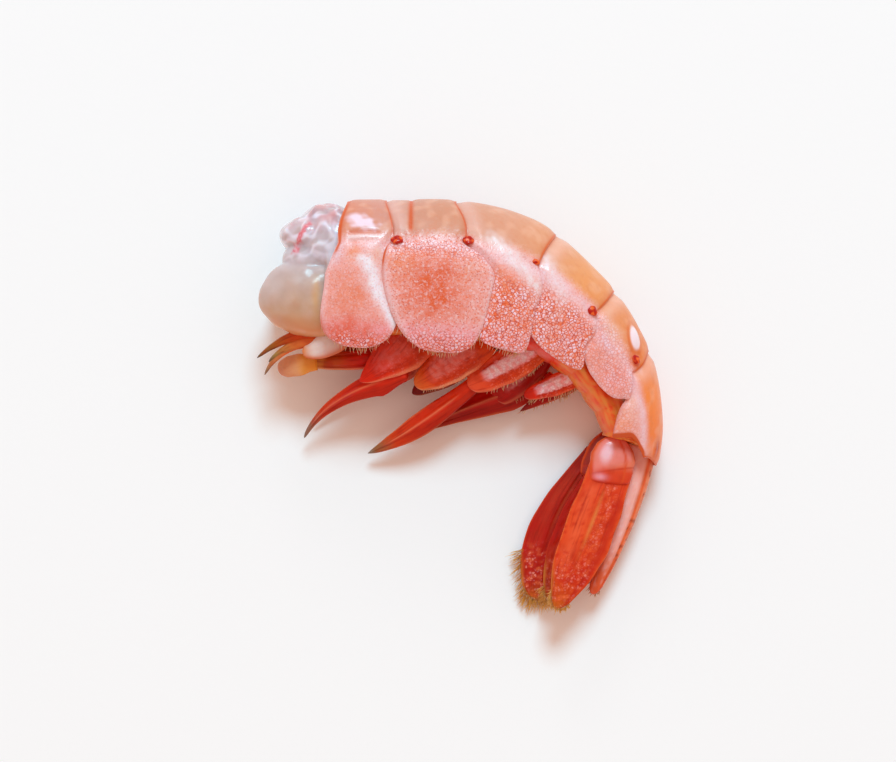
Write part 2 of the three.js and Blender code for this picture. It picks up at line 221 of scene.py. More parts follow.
half_count = round(AXIS_END / AXIS_STEP)
axis_places = np.arange(-half_count, half_count + 1) * AXIS_STEP
turns = np.radians(body_at("heading", axis_places[:-1] + AXIS_STEP / 2))
axis_x = np.concatenate([[0], np.cumsum(np.cos(turns) * AXIS_STEP)])
axis_y = np.concatenate([[0], np.cumsum(np.sin(turns) * AXIS_STEP)])
axis_x += AXIS_START[0] - axis_x[half_count]
axis_y += AXIS_START[1] - axis_y[half_count]


def skin(at, angle, level, below="belly"):
    """Points of the body, "level" outside it: a superellipse across the axis with its own depth to the back
    and to the belly, pressed flat where it would pass into the table top."""
    cosine = np.cos(np.radians(angle))
    sine = np.sin(np.radians(angle))
    to_back = cosine >= 0
    power = 2 / np.where(to_back, SQUARE["back"], SQUARE[below])
    reach = np.where(to_back, body_at("back", at), body_at(below, at)) + level
    depth = reach * np.sign(cosine) * np.abs(cosine) ** power
    across = (body_at("half", at) + level) * np.sign(sine) * np.abs(sine) ** power
    heading = np.radians(body_at("heading", at))
    lift = body_at("half", at) + STEP - PRESSED
    return np.stack([
        np.interp(at, axis_places, axis_x) - np.sin(heading) * depth,
        np.interp(at, axis_places, axis_y) + np.cos(heading) * depth,
        np.maximum(lift + across, np.maximum(STEP - level, 0)),
    ], axis=-1)


def ripples(points, length, seed):
    """Smooth unevenness, mostly from -1 to 1: the sum of waves about "length" mm long in seeded
    directions."""
    draw = np.random.default_rng(seed)
    ways = draw.normal(size=(16, 3))
    ways /= np.linalg.norm(ways, axis=1, keepdims=True)
    ways *= 2 * np.pi / length * draw.uniform(0.7, 1.4, (16, 1))
    return np.sin(points @ ways.T + draw.uniform(0, 2 * np.pi, 16)).sum(-1) / 5


def blend(x, stops):
    """Colours at x, between stops that are each a place and a hex colour."""
    places, codes = zip(*stops)
    colours = np.array([linear(code) for code in codes])
    return np.stack([np.interp(x, places, colours[:, channel]) for channel in range(4)], axis=-1)


def painted(ground, layers):
    """Colours of points. Over the ground each layer's colour is laid, as much as its mask says."""
    colour = ground
    for mask, code in layers:
        colour = mix(colour, np.array(linear(code)), np.clip(mask, 0, 1)[..., None])
    return colour


def grid_faces(rows, columns, wrap_rows=False, wrap_columns=False):
    """Corner numbers of the four-sided faces of a grid of points, closed round its rows or columns if
    asked."""
    row = np.arange(rows - (not wrap_rows))
    column = np.arange(columns - (not wrap_columns))
    i, j = np.meshgrid(row, column, indexing="ij")
    next_i = (i + 1) % rows
    next_j = (j + 1) % columns
    corners = [i * columns + j, next_i * columns + j, next_i * columns + next_j, i * columns + next_j]
    return np.stack(corners, axis=-1).reshape(-1, 4)


PAINT_KINDS = {1: ("FLOAT", "value"), 3: ("FLOAT_VECTOR", "vector"), 4: ("FLOAT_COLOR", "color")}


def give_paint(mesh, paint):
    """Gives a mesh its paint: colours, vectors or numbers, one for each point and name."""
    count = len(mesh.vertices)
    for name, values in paint.items():
        width = np.shape(values)[-1] if np.ndim(values) and np.size(values) > count else 1
        kind, field = PAINT_KINDS[width]
        attribute = mesh.attributes.new(name, kind, "POINT")
        values = np.broadcast_to(np.reshape(values, (-1, width)), (count, width))
        attribute.data.foreach_set(field, values.astype(np.float32).ravel())


def mesh_of(name, points, faces, paint):
    """A closed smooth mesh, in metres, from points in mm and faces with four corners."""
    mesh = bpy.data.meshes.new(name)
    mesh.vertices.add(len(points))
    mesh.vertices.foreach_set("co", ((points - CENTRE) * MM).ravel())
    mesh.loops.add(faces.size)
    mesh.loops.foreach_set("vertex_index", faces.ravel())
    mesh.polygons.add(len(faces))
    mesh.polygons.foreach_set("loop_start", np.arange(0, faces.size, 4))
    mesh.update(calc_edges=True)
    give_paint(mesh, paint)
    form = bmesh.new()
    form.from_mesh(mesh)
    bmesh.ops.remove_doubles(form, verts=form.verts, dist=0.001 * MM)
    bmesh.ops.dissolve_degenerate(form, edges=form.edges, dist=0.0001 * MM)
    bmesh.ops.recalc_face_normals(form, faces=form.faces)
    form.to_mesh(mesh)
    form.free()
    mesh.polygons.foreach_set("use_smooth", np.ones(len(mesh.polygons), bool))
    return mesh


def joined(parts):
    """Points, faces and paint of several surfaces put together."""
    starts = np.cumsum([0] + [len(points) for points, _, _ in parts])
    points = np.concatenate([points for points, _, _ in parts])
    faces = np.concatenate([faces + start for (_, faces, _), start in zip(parts, starts)])
    paint = {name: np.concatenate([paint[name] for _, _, paint in parts]) for name in parts[0][2]}
    return points, faces, paint


def add_piece(name, mesh, material, slot, *nodes):
    """Adds a finished mesh as a piece of the prawn, in place of the CAD nodes that it stands for."""
    mesh.materials.append(material)
    piece = bpy.data.objects.new(name, mesh)
    scene.collection.objects.link(piece)
    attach(piece, "root")
    if nodes:
        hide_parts(*nodes)
    return piece


# The muscle.
# Raw tail meat is translucent grey and beige, soft and very wet. At the cut it bulges out in lobes with a
# whitish membrane between them, and a thread of red runs down it. Along the belly an orange skin covers it.
MEAT = {"front": -4, "rear": 64.7, "aslant": 1.6}
BARE_RISE = 14
CUT_LOBES = [
    {"at": -2.8, "depth": 4.8, "across": 2.4, "size": (6.6, 6.8, 4.6)},
    {"at": -2.6, "depth": 4.8, "across": -2.4, "size": (6.2, 6.6, 4.6)},
    {"at": -4.2, "depth": 7.3, "across": 0, "size": (5.6, 5.2, 6.2)},
    {"at": -7.4, "depth": 7.0, "across": 0.8, "size": (5.2, 3.2, 5.6)},
    {"at": -7.0, "depth": 2.6, "across": 1.6, "size": (5.0, 4.2, 5.0)},
    {"at": -6.8, "depth": -3.9, "across": 3.4, "size": (9.2, 6.9, 4.8)},
    {"at": -6.2, "depth": -3.9, "across": -3.4, "size": (8.4, 6.6, 4.6)},
]
LOBE_GRID = (40, 28)
CUT_VOXEL = 0.24
CUT_DEPTH = 4.5
CLOUDING_SCALE = 260
FIBRE_SCALE = (500, 900, 900)
THREAD = np.array([(-26.2, 31.0), (-27.6, 29.2), (-28.5, 26.4)])


def round_grid(turns, rises):
    """Angles round a ball and down it, on a grid of that many of each."""
    turn = np.linspace(0, 2 * np.pi, turns, endpoint=False)
    return np.meshgrid(turn, np.linspace(0, np.pi, rises), indexing="ij")


def lobe(at, depth, across, size):
    """Points and faces of one bulge: an ellipsoid set on the axis's place, turned with its heading, and
    uneven."""
    turn, rise = round_grid(*LOBE_GRID)
    ball = np.stack([np.cos(rise), np.sin(rise) * np.cos(turn), np.sin(rise) * np.sin(turn)], axis=-1)
    x, y, z = np.moveaxis(ball * size * (1 + 0.03 * ripples(ball, 1.6, 5)[..., None]), -1, 0)
    heading = np.radians(body_at("heading", at))
    points = np.stack([
        np.interp(at, axis_places, axis_x) + x * np.cos(heading) - y * np.sin(heading),
        np.interp(at, axis_places, axis_y) + depth + x * np.sin(heading) + y * np.cos(heading),
        body_at("half", at) + STEP - PRESSED + across + z,
    ], axis=-1)
    return points.reshape(-1, 3), grid_faces(*LOBE_GRID, wrap_rows=True), {}


def tube(front, rear, level, along_steps, round_steps):
    """Points, faces and places of a closed tube of the body from front to rear, which shrinks to its axis
    at both ends."""
    share = np.concatenate([[0], np.linspace(0, 1, along_steps), [1]])[:, None]
    angle = np.linspace(-180, 180, round_steps, endpoint=False)[None, :]
    at = mix(front, rear(angle), share)
    points = skin(at, angle, level(at, angle))
    points[0] = points[0].mean(axis=0)
    points[-1] = points[-1].mean(axis=0)
    return points.reshape(-1, 3), grid_faces(*at.shape, wrap_columns=True), at, angle


def fused(parts, voxel):
    """One skin over overlapping closed forms: voxels of that size in mm, smoothed."""
    rough = bpy.data.objects.new("rough", mesh_of("rough", *joined(parts)))
    scene.collection.objects.link(rough)
    remesh = rough.modifiers.new("voxels", "REMESH")
    remesh.mode = "VOXEL"
    remesh.voxel_size = voxel * MM
    smooth = rough.modifiers.new("smooth", "SMOOTH")
    smooth.iterations = 16
    smooth.factor = 0.5
    graph = bpy.context.evaluated_depsgraph_get()
    mesh = bpy.data.meshes.new_from_object(rough.evaluated_get(graph))
    bpy.data.objects.remove(rough)
    return mesh


def wet_muscle(name):
    """Raw muscle under a film of water. Light goes over 2 mm in and comes back pinkish, the film shines
    where it is thick, and clouding a few mm across shows faintly. The skin of the belly has streaks half a
    millimetre wide."""
    material, tree = new_material(name)
    place = add_node(tree, "TexCoord").outputs["Object"]
    cloud = add_node(tree, "TexNoise", {"Vector": place, "Scale": CLOUDING_SCALE, "Detail": 3})
    bundles = add_node(tree, "Mapping", {"Vector": place, "Scale": FIBRE_SCALE})
    fibre = add_node(tree, "TexNoise", {"Vector": bundles, "Scale": 1, "Detail": 2})
    cloudy = add_node(tree, "MapRange", {"Value": cloud, "From Min": 0.42, "From Max": 0.68, "To Max": 0.3})
    folded = add_node(tree, "MapRange", {"Value": fibre, "From Min": 0.45, "From Max": 0.65, "To Max": 0.6})
    membrane = add_node(tree, "Attribute", attribute_name="membrane").outputs["Fac"]
    naked = add_node(tree, "Math", {0: 1.0, 1: membrane}, operation="SUBTRACT")
    cloudy = add_node(tree, "Math", {0: cloudy, 1: naked}, operation="MULTIPLY")
    veined = add_node(tree, "Math", {0: membrane, 1: folded}, operation="MULTIPLY")
    film = add_node(tree, "Attribute", attribute_name="film").outputs["Fac"]
    colour = add_node(tree, "Attribute", attribute_name="tint").outputs["Color"]
    for mask, code in ((cloudy, "#dccac6"), (veined, "#f29a44")):
        inputs = {0: mask, 6: colour, 7: linear(code)}
        colour = add_node(tree, "Mix", inputs, data_type="RGBA").outputs[2]
    relief = add_node(tree, "Math", {0: cloud, 1: 2.0, 2: fibre}, operation="MULTIPLY_ADD")
    bump = add_node(tree, "Bump", {"Height": relief, "Strength": 0.2, "Distance": 0.00012})
    shader = add_node(tree, "BsdfPrincipled", {
        "Base Color": colour, "Roughness": 0.36, "IOR": 1.38, "Normal": bump,
        "Subsurface Weight": 0.8, "Subsurface Radius": (1.0, 0.66, 0.52), "Subsurface Scale": 0.003,
        "Coat Weight": film, "Coat Roughness": 0.1, "Coat IOR": 1.36,
    })
    add_node(tree, "OutputMaterial", {"Surface": shader})
    return material


def near_line(points, line):
    """Distance in mm from points, seen from above, to a line through a few places."""
    found = np.full(len(points), np.inf)
    for a, b in zip(line[:-1], line[1:]):
        share = np.clip(((points[:, :2] - a) @ (b - a)) / ((b - a) @ (b - a)), 0, 1)
        found = np.minimum(found, np.linalg.norm(points[:, :2] - a - share[:, None] * (b - a), axis=1))
    return found


def cut_meat():
    """The bulging end: its lobes and the front of the tube fused, then creased and wrinkled along its
    normals."""
    plug = tube(MEAT["front"], lambda angle: CUT_DEPTH + 0 * angle, lambda at, angle: -STEP - 0.2, 20, 90)
    mesh = fused([(*plug[:2], {}), *(lobe(**size) for size in CUT_LOBES)], CUT_VOXEL)
    count = len(mesh.vertices)
    place = np.empty(count * 3)
    normal = np.empty(count * 3)
    mesh.vertices.foreach_get("co", place)
    mesh.vertex_normals.foreach_get("vector", normal)
    points = place.reshape(-1, 3) / MM + CENTRE
    upper = ease((points[:, 1] - 23.5) / 4)
    fold = 1 - np.abs(ripples(points, 4.6, 11))
    push = mix(0.1, 0.17, upper) * ripples(points, 3.6, 3) + 0.02 * upper * ripples(points, 1.2, 7) + 0.1
    push += 0.1 * upper * (np.clip(fold, 0, 1) ** 3 - 0.3)
    bare = ease((-points[:, 0] - 17.5) / 2)
    points += normal.reshape(-1, 3) * (push * bare)[:, None]
    points[:, 2] = np.maximum(points[:, 2], 0)
    mesh.vertices.foreach_set("co", ((points - CENTRE) * MM).ravel())
    mesh.update()
    ground = blend(points[:, 1], (
        (11, "#e69a60"), (16, "#d0a88a"), (22, "#c2a59c"),
        (26, "#ccbcc2"), (31, "#c8b4be"), (34, "#b4868e"),
    ))
    edge = hill(points[:, 0] + 24.7 + 0.2 * ripples(points, 2.0, 27), 0.7)
    thread = hill(near_line(points, THREAD) + 0.3 * ripples(points, 0.9, 29), 0.45)
    tint = painted(ground, [
        (0.5 * ease((-points[:, 0] - 29) / 4) * ease((points[:, 1] - 15) / 5), "#c4b0ae"),
        (0.7 * ease((np.clip(fold, 0, 1) - 0.6) / 0.4) * upper, "#f2ecf8"),
        (0.8 * ease((ripples(points, 3.2, 21) - 0.1) / 0.8) * upper, "#f2ecfa"),
        (0.6 * ease((ripples(points, 2.2, 33) - 0.2) / 0.6) * upper, "#b49a96"),
        (0.8 * ease((points[:, 1] - 29) / 4) * np.clip(0.5 + ripples(points, 2.6, 23), 0, 1), "#d08e90"),
        (0.7 * edge * ease((points[:, 1] - 13) / 3) * ease((23 - points[:, 1]) / 3), "#dfa862"),
        (0.9 * thread * (points[:, 2] > 9), "#e2455a"),
    ])
    give_paint(mesh, {"tint": tint, "membrane": 0.0, "film": 0.4 + 0.6 * upper})
    mesh.polygons.foreach_set("use_smooth", np.ones(len(mesh.polygons), bool))
    return mesh


SEGMENT = 9.6
BELLY_FRONT = 2.0


def belly_meat():
    """The tube in the rings. Where the belly is bare of shell it is folded crosswise, once or twice a
    ring."""
    def bare(at, angle):
        return ease((np.abs(angle) - body_at("open", at)) / BARE_RISE)

    def rear(angle):
        return MEAT["rear"] + MEAT["aslant"] * np.cos(np.radians(angle))

    def level(at, angle):
        crease = 0.32 * np.abs(np.sin(at / SEGMENT * 2 * np.pi)) ** 0.6 - 0.3
        front = ease((at - BELLY_FRONT) / 1.5)
        return -STEP * (1 - bare(at, angle) * front) + bare(at, angle) * crease

    points, faces, at, angle = tube(BELLY_FRONT, rear, level, 260, 200)
    membrane = ease((np.abs(angle) - 88) / 10) + 0 * at
    membrane = np.maximum(membrane, ease((at - 60) / 3)).ravel()
    fibres = [(at * 0.2 + 0 * angle).ravel(), (angle * 0.11 + 0 * at).ravel(), 0 * membrane]
    fibres = np.stack(fibres, axis=-1)
    streak = ripples(fibres, 1.2, 83)
    place = (at + 0 * angle).ravel()
    # Painted shade: the bare belly is a deeper red where it lies in the shadowed recess between the legs,
    # and its skin's streaks are left out there.
    shaded_recess = ease((place - 26) / 6) * ease((47 - place) / 5)
    tint = painted(np.array(linear("#c6a28c")), [
        (membrane, "#ff722e"),
        (0.7 * membrane * ease((streak - 0.1) / 0.8), "#ffa04c"),
        (0.6 * membrane * ease((-streak - 0.1) / 0.8), "#ee3a0c"),
        (0.9 * membrane * shaded_recess, "#ff2c10"),
    ])
    film = np.full(len(points), 0.15)
    paint = {"tint": tint, "membrane": membrane * (1 - shaded_recess), "film": film}
    return mesh_of("belly_meat", points, faces, paint)


muscle = wet_muscle("wet_muscle")
add_piece("cut_meat", cut_meat(), muscle, "meat", "muscle")
add_piece("belly_meat", belly_meat(), muscle, "meat", "muscle")

# The shell rings.
# Six rings of thin chitin, each lapping over the next one, and the second over both neighbours at the
# flank. On the back they are smooth and peach coloured. The flaps on the flanks are pink, with beads of
# pale chitin, orange pigment between them, fine dark pits and a pale rim. Whitish highlights and sheens
# of the wet shell are painted on as well.
RISE = 2.0
TUCK = 1.4
UNDER = 0.28
LAPPED = 0.56
LOW_BAND = 0.85
HINGE = 66
FLANK = 91
RINGS = [
    {
        "back": (-0.4, 6.3), "hinge": (-1.9, 7.5), "flank": (-4.3, 8.6), "sweep": (-0.07, 0),
        "bend": (1, 1.3), "tip": 1.6, "round": 98, "hem": 138, "lobe": 1.9, "coarse": (124, 1.0),
        "pitted": 0.5,
        "spots": [
            (0.8, 76, 1.7, 7, 0.8, "#ef8a52"), (0.0, 97, 3.6, 9, 0.8, "#ea8058"),
            (-0.8, 120, 5.5, 12, 0.95, "#ec6a52"), (-2.6, 76, 1.6, 8, 0.75, "#e4c0c8"),
            (4.6, 78, 1.2, 8, 0.5, "#f4c2a4"),
        ],
    },
    {
        "back": (4.2, 17.1), "hinge": (7.0, 19.2), "flank": (5.6, 24.9), "sweep": (0.09, 0),
        "bend": (2.6, 1.9), "tip": 16, "round": 98, "hem": 141, "lobe": 2.8, "coarse": (122, 1.0),
        "pitted": 1.0,
        "spots": [
            (14.4, 95, 6.0, 16, 1.0, "#e25f30"), (8.6, 82, 2.4, 8, 0.85, "#ef8a58"),
            (12, 79, 7, 5, 0.5, "#ea7444"), (20.5, 84, 2.4, 9, 0.5, "#f0a088"),
        ],
    },
    {
        "back": (15.0, 31.6), "hinge": (17.0, 31.0), "flank": (21.6, 33.4), "sweep": (0, 0.12),
        "bend": (2.4, 1.6), "tip": 34, "round": 106, "hem": 127, "lobe": 2.4, "coarse": (88, 1.0),
        "pitted": 0.5,
        "spots": [
            (28.0, 92, 2.4, 9, 0.9, "#ea7a4c"), (26.0, 84, 1.5, 6, 0.6, "#ee8a60"),
            (31, 117, 5, 9, 0.7, "#ffccd8"), (33.2, 97, 0.8, 16, 0.8, "#e8754c"),
        ],
    },
    {
        "back": (29.5, 42.0), "hinge": (28.2, 42.2), "flank": (29.6, 44.8), "sweep": (0.2, 0.3),
        "bend": (2, 2), "tip": 42.5, "round": 98, "hem": 114, "lobe": 1.8, "coarse": (82, 1.0),
        "pitted": 0.4,
        "spots": [
            (38.5, 86, 2.4, 8, 0.7, "#ee8358"), (42.5, 96, 1.6, 10, 0.6, "#efa7ae"),
        ],
    },
    {
        "back": (40.0, 51.8), "hinge": (39.6, 53.4), "flank": (42.0, 57.6), "sweep": (0.2, 0.1),
        "bend": (2, 2), "tip": 51, "round": 80, "hem": 102, "lobe": 1.9, "coarse": (60, 0.3),
        "pitted": 0.15,
        "spots": [
            (46.5, 66, 3.0, 10, 0.8, "#f3c3ae"), (46.5, 80, 2.4, 6, 0.7, "#f4d0dc"),
            (53.5, 90, 3.0, 12, 0.75, "#f6a8a4"), (52.3, 58, 1.3, 6, 0.9, "#dd5a26"),
        ],
    },
    {
        "back": (49.8, 68.4), "hinge": (50.6, 67.2), "flank": (54.6, 63.8), "sweep": (0, 0),
        "bend": (2, 0.95), "tip": 63.6, "round": 76, "hem": 112, "lobe": 1.1, "coarse": (85, 0.2),
        "pitted": 0.2,
        "spots": [
            (58.5, 84, 3.5, 9, 0.7, "#fac4b4"), (62, 96, 3.0, 9, 0.8, "#fcac90"),
            (66.5, 62, 1.6, 12, 0.6, "#f2bcb4"), (53.0, 52, 1.2, 5, 0.6, "#f6dcd8"),
            (66.0, 34, 1.2, 8, 0.7, "#a82408"),
        ],
    },
]
# Each hinge is given by its place, its angle and how dark its knob is.
HINGES = [
    (8.2, 66.5, 1), (19.6, 64, 1), (30.5, 65.5, 0.2), (41.6, 69, 0.9), (51.9, 55, 0.85), (66, 39, 0.4),
]
KNOB = 0.62
DEGREE = 0.175
ALONG_STEPS = 76
EDGE_STEPS = 4
UPPER_STEPS = 74
LOWER_STEPS = 36
THIN_EDGE = 0.22
THIN_REACH = 1.3
THINNED = 0.45
GROOVE = 10.4
BOSS = (49.0, 41)
SHOULDER = {"angle": 45, "reach": 13, "flat": 4.4}
BEAD_SCALE = 1850
PIT_SCALE = 2500
FLECK_SCALE = 1900
MOTTLE_SCALE = 330
WARP_SCALE = 1100


def margin(ring, end, angle):
    """A ring's front or rear margin. It slants from its place on the back to the hinge, bends on to the
    flank, and below that the two margins round the flap off to its lowest point as a superellipse."""
    a = np.abs(angle)
    at = ring["back"][end] + 0 * a
    at += (ring["hinge"][end] - ring["back"][end]) * ease((a - 12) / (HINGE - 18))
    below = np.clip((a - HINGE - 1) / (FLANK - HINGE - 1), 0, 1)
    at += (ring["flank"][end] - ring["hinge"][end]) * (1 - (1 - below) ** ring["bend"][end])
    at += ring["sweep"][end] * np.maximum(a - FLANK, 0)
    share = np.clip((a - ring["round"]) / (ring["hem"] - ring["round"]), 0, 1) * 0.998
    return mix(ring["tip"], at, (1 - share ** ring["lobe"]) ** (1 / ring["lobe"]))


def beside(gap):
    """Level of a ring's outer face by its distance from the margin that laps over it: tucked UNDER it, just
    below its edge at LAPPED, and rising to STEP beyond."""
    return mix(UNDER, LAPPED, ease(gap / TUCK + 1)) + (STEP - LAPPED) * ease(gap / RISE)


def level_of(index, at, angle):
    """How far a ring's outer face stands off the body. The second ring's flaps lie over both neighbours."""
    a = np.abs(angle)
    flank = ease((a - HINGE + 6) / 12)
    if index == 0:
        return mix(STEP, beside(margin(RINGS[1], 0, angle) - 0.2 - at), flank)
    level = beside(at - margin(RINGS[index - 1], 1, angle))
    if index == 1:
        # The front of the second ring's back stays a little lower up to its groove.
        behind = mix(LOW_BAND, STEP, ease((at - GROOVE) / 1.5))
        level = mix(np.minimum(level, behind), STEP, flank)
    return level


def outline_gap(ring, at, angle):
    """Distance in mm from places on a ring to its nearest margin."""
    front = at - margin(ring, 0, angle)
    rear = margin(ring, 1, angle) - at
    return np.minimum(np.minimum(front, rear), (ring["hem"] - np.abs(angle)) * DEGREE)


def boss_away(at, angle):
    """Distance from the smooth boss between the last rings, over its own size."""
    return np.hypot((at - BOSS[0]) / 1.6, (np.abs(angle) - BOSS[1] - 3 * (at - BOSS[0])) * 0.115)


def ring_relief(index, at, angle, points):
    """Low relief in mm: uneven growth, a bead behind the rear margin, the grooves, the knobs and the
    bosses."""
    ring = RINGS[index]
    a = np.abs(angle)
    back = 1 - ease((a - 50) / 18)
    rear = margin(ring, 1, angle) - at
    front = at - margin(ring, 0, angle)
    gap = outline_gap(ring, at, angle)
    relief = 0.04 * ripples(points, 7, 40 + index) + 0.035 * (1 - back) * ripples(points, 2.4, 50 + index)
    relief += 0.03 * hill(rear - 0.7, 0.35) * back + 0.07 * hill(gap - 0.5, 0.3) * (1 - back)
    relief += 0.16 * (1 - back) * ease((gap - 1) / 3)
    for place, turn, dark in HINGES:
        away = np.hypot(at - place, (a - turn) * DEGREE)
        relief += dark * (0.2 * hill(away, KNOB) - 0.16 * hill(away - KNOB * 2.2, KNOB * 0.8))
    if index == 0:
        shoulder = ease((at + 0.5) / 0.8) * ease((5.6 - at) / 1.2)
        lean = np.radians(a - SHOULDER["angle"])
        near = ease((SHOULDER["reach"] - np.abs(a - SHOULDER["angle"])) / 4)
        relief += shoulder * near * (SHOULDER["flat"] * lean**2 - 0.02)
        relief -= shoulder * (0.2 * hill(a - 59.5, 2.0) + 0.24 * hill(a - 66.5, 1.6))
    if index == 1:
        relief -= 0.22 * hill(at - GROOVE, 0.32) * back
        relief += 0.1 * hill(front - 0.8, 0.6) * (1 - back)
    if index in (4, 5):
        relief += 0.5 * hill(boss_away(at, angle), 1)
    return relief


def ring_paint(index, at, angle, points):
    """A ring's colours, with painted highlights and sheens of the wet shell among them, and the masks of
    its beads, its pits and its film of water, by where they are on it."""
    ring = RINGS[index]
    a = np.abs(angle)
    flap = ease((a - 56) / 16)
    gap = outline_gap(ring, at, angle)
    front = at - margin(ring, 0, angle)
    rear = margin(ring, 1, angle) - at
    wander = ripples(points, 3, 60 + index)
    patchy = ripples(points, 1.3, 90 + index)
    wet = 0.18 + 0.12 * flap + 0 * at
    ground = blend(at + 0 * a, (
        (0, "#d88468"), (6, "#d28e7c"), (9, "#ce8e78"), (15, "#d08a6c"), (25, "#db9677"), (38, "#ec9a5f"),
        (50, "#ea864b"), (58, "#fa8939"), (68, "#f87a29"),
    ))
    layers = [
        (0.25 * ease(wander) * (1 - flap), "#f6bda0"),
        (0.2 * ease(-patchy) * (1 - flap), "#d87c4e"),
        (flap, "#f4aca2"),
        # Partly pale chitin and partly a painted sheen of the wide window: the whitish band below the hinge
        # line.
        (flap * hill(a - 71, 8) * (0.8 + 0.3 * wander), "#f6ccd2"),
        (0.8 * flap * ease((a - 106) / 16), "#fcb4c6"),
    ]
    for place, turn, along, around, strength, code in ring["spots"]:
        near = hill(np.hypot((at - place) / along, (a - turn) / around), 1)
        layers.append((strength * near * (1 + 0.3 * wander + 0.15 * patchy), code))
    layers.append((0.6 * flap * hill(gap, 0.6), "#f8d8de"))
    seam = 0.65 * hill(rear - 0.06, 0.16) * (1 - ease((a - 66) / 6))
    seam += 0.25 * hill(rear - 0.1, 0.5) * (1 - flap)
    seam += 0.3 * flap * hill(gap - 0.05, 0.16)
    if index > 0:
        after = at - margin(RINGS[index - 1], 1, angle)
        layers.append((0.35 * hill(after - 1.2, 1.4) * (1 - flap), "#f3c8c0"))
        shown = 60 if index != 2 else 100
        seam = seam + 0.5 * hill(after - 0.1, 0.25) * (1 - ease((a - shown) / 10))
    if index == 0:
        # Painted highlights of the wet first ring: the whitish oval on its shoulder, the thin strip below
        # it at 63 degrees, and the film, a whitish streak of wet shine down the flap by its rear margin.
        painted_gloss = ease(1.4 - np.hypot((at - 2.1) / 2.5, (a - 45 - 1.6 * at) / 8) + 0.3 * patchy)
        window = ease((at + 0.9) / 1) * ease((6 - at) / 1)
        band = (at - 2.9 - 0.145 * (a - 83)) / mix(1.5, 0.9, ease((a - 92) / 14))
        film = hill(band + 0.25 * patchy, 1) * ease((a - 75) / 6) * ease((128 - a) / 8)
        layers.append((0.85 * painted_gloss, "#f6dcec"))
        layers.append((0.7 * hill(a - 63, 2.2) * window, "#f7e3e6"))
        layers.append((film, "#f6eef6"))
        wet = wet + 0.6 * film
        wet = wet + 0.5 * painted_gloss + 0.5 * hill(a - 63, 3)
        seam = seam + 0.9 * hill(front - 0.3, 0.3) * (1 - ease((a - 72) / 8))
        seam = seam + 0.2 * hill(front - 0.3, 0.7) * (1 - flap)
        seam = seam + 0.55 * hill(a - 59, 1.4) * window
        seam = seam + 0.5 * hill(front - 0.2, 0.6) * ease((a - 104) / 10)
    if index == 1:
        seam = seam + 1.1 * hill(at - GROOVE, 0.36) * (1 - ease((a - 54) / 8))
        # The pale front rim of the flap is partly its own colour and partly a painted reflection on the wet
        # rim.
        layers.append((0.5 * flap * hill(front - 0.7, 0.6) * hill(a - 104, 18), "#f0d6dc"))
        seam = seam + 0.9 * hill(front - 0.1, 0.3) * hill(a - 78, 11)
        wet = wet + 0.3 * flap * hill(front - 0.7, 0.8)
    if index == 2:
        # The whitish sheen is a painted reflection of the wide window on the wet flap.
        sheen = hill(a - (63.5 + 2.8 * (at - 24.6)), 7) * ease((at - 21.5) / 2) * ease((34 - at) / 2)
        layers.append((0.8 * sheen * (0.75 + 0.35 * patchy), "#f5e9ec"))
        wet = wet + 0.7 * sheen
    if index == 3:
        # The whitish sheen is a painted reflection of the wide window on the wet flap.
        sheen = hill(a - (66 + 4.2 * (at - 33.2)), 9) * ease((40 - at) / 4)
        layers.append((0.8 * sheen * (0.75 + 0.35 * patchy), "#f3dfe4"))
        wet = wet + 0.6 * sheen
    if index in (4, 5):
        boss = boss_away(at, angle)
        # The whitish oval on the boss is a painted highlight of the wet shell.
        layers.append((0.95 * ease((1.2 - boss) / 0.35), "#fae2e8"))
        wet = wet + 0.8 * ease((1.3 - boss) / 0.4)
        low = 0.6 + 0.4 * ease((a - 38) / 8)
        seam = seam + 0.5 * hill(boss - 1.4, 0.25) * ease((rear + 0.6) / 0.5) * low
    if index == 5:
        seam = seam + 0.9 * ease((1.1 - rear) / 0.5) * ease((a - 62) / 10)
        seam = seam + 0.5 * hill(gap - 0.3, 0.5) * flap
        wet = wet + 0.15
    ember = 0 * a
    for place, turn, dark in HINGES:
        away = np.hypot(at - place, (a - turn) * DEGREE) + 0.14 * ripples(points, 0.9, 71)
        ember = ember + dark * hill(away, KNOB * 1.25)
    layers += [(seam, "#d6561c"), (ember, "#cc360c")]
    coarse_from, coarse_most = ring["coarse"]
    coarse = coarse_most * ease((a - coarse_from + 10) / 20) + 0.16 * flap
    if index == 1:
        coarse = coarse + 0.6 * hill(a - 73, 7)
    pitted = ring["pitted"] * ease((a - 52) / 14) * (1 - 0.3 * ease((a - 118) / 14)) + 0.06
    calm = 1 - np.clip(seam + ember + 0.7 * wet - 0.2, 0, 1)
    return {
        "tint": painted(ground, layers),
        "coarse": np.clip(coarse, 0, 1) * calm,
        "pitted": np.clip(pitted, 0, 1) * calm,
        "wet": np.clip(wet, 0, 1),
    }


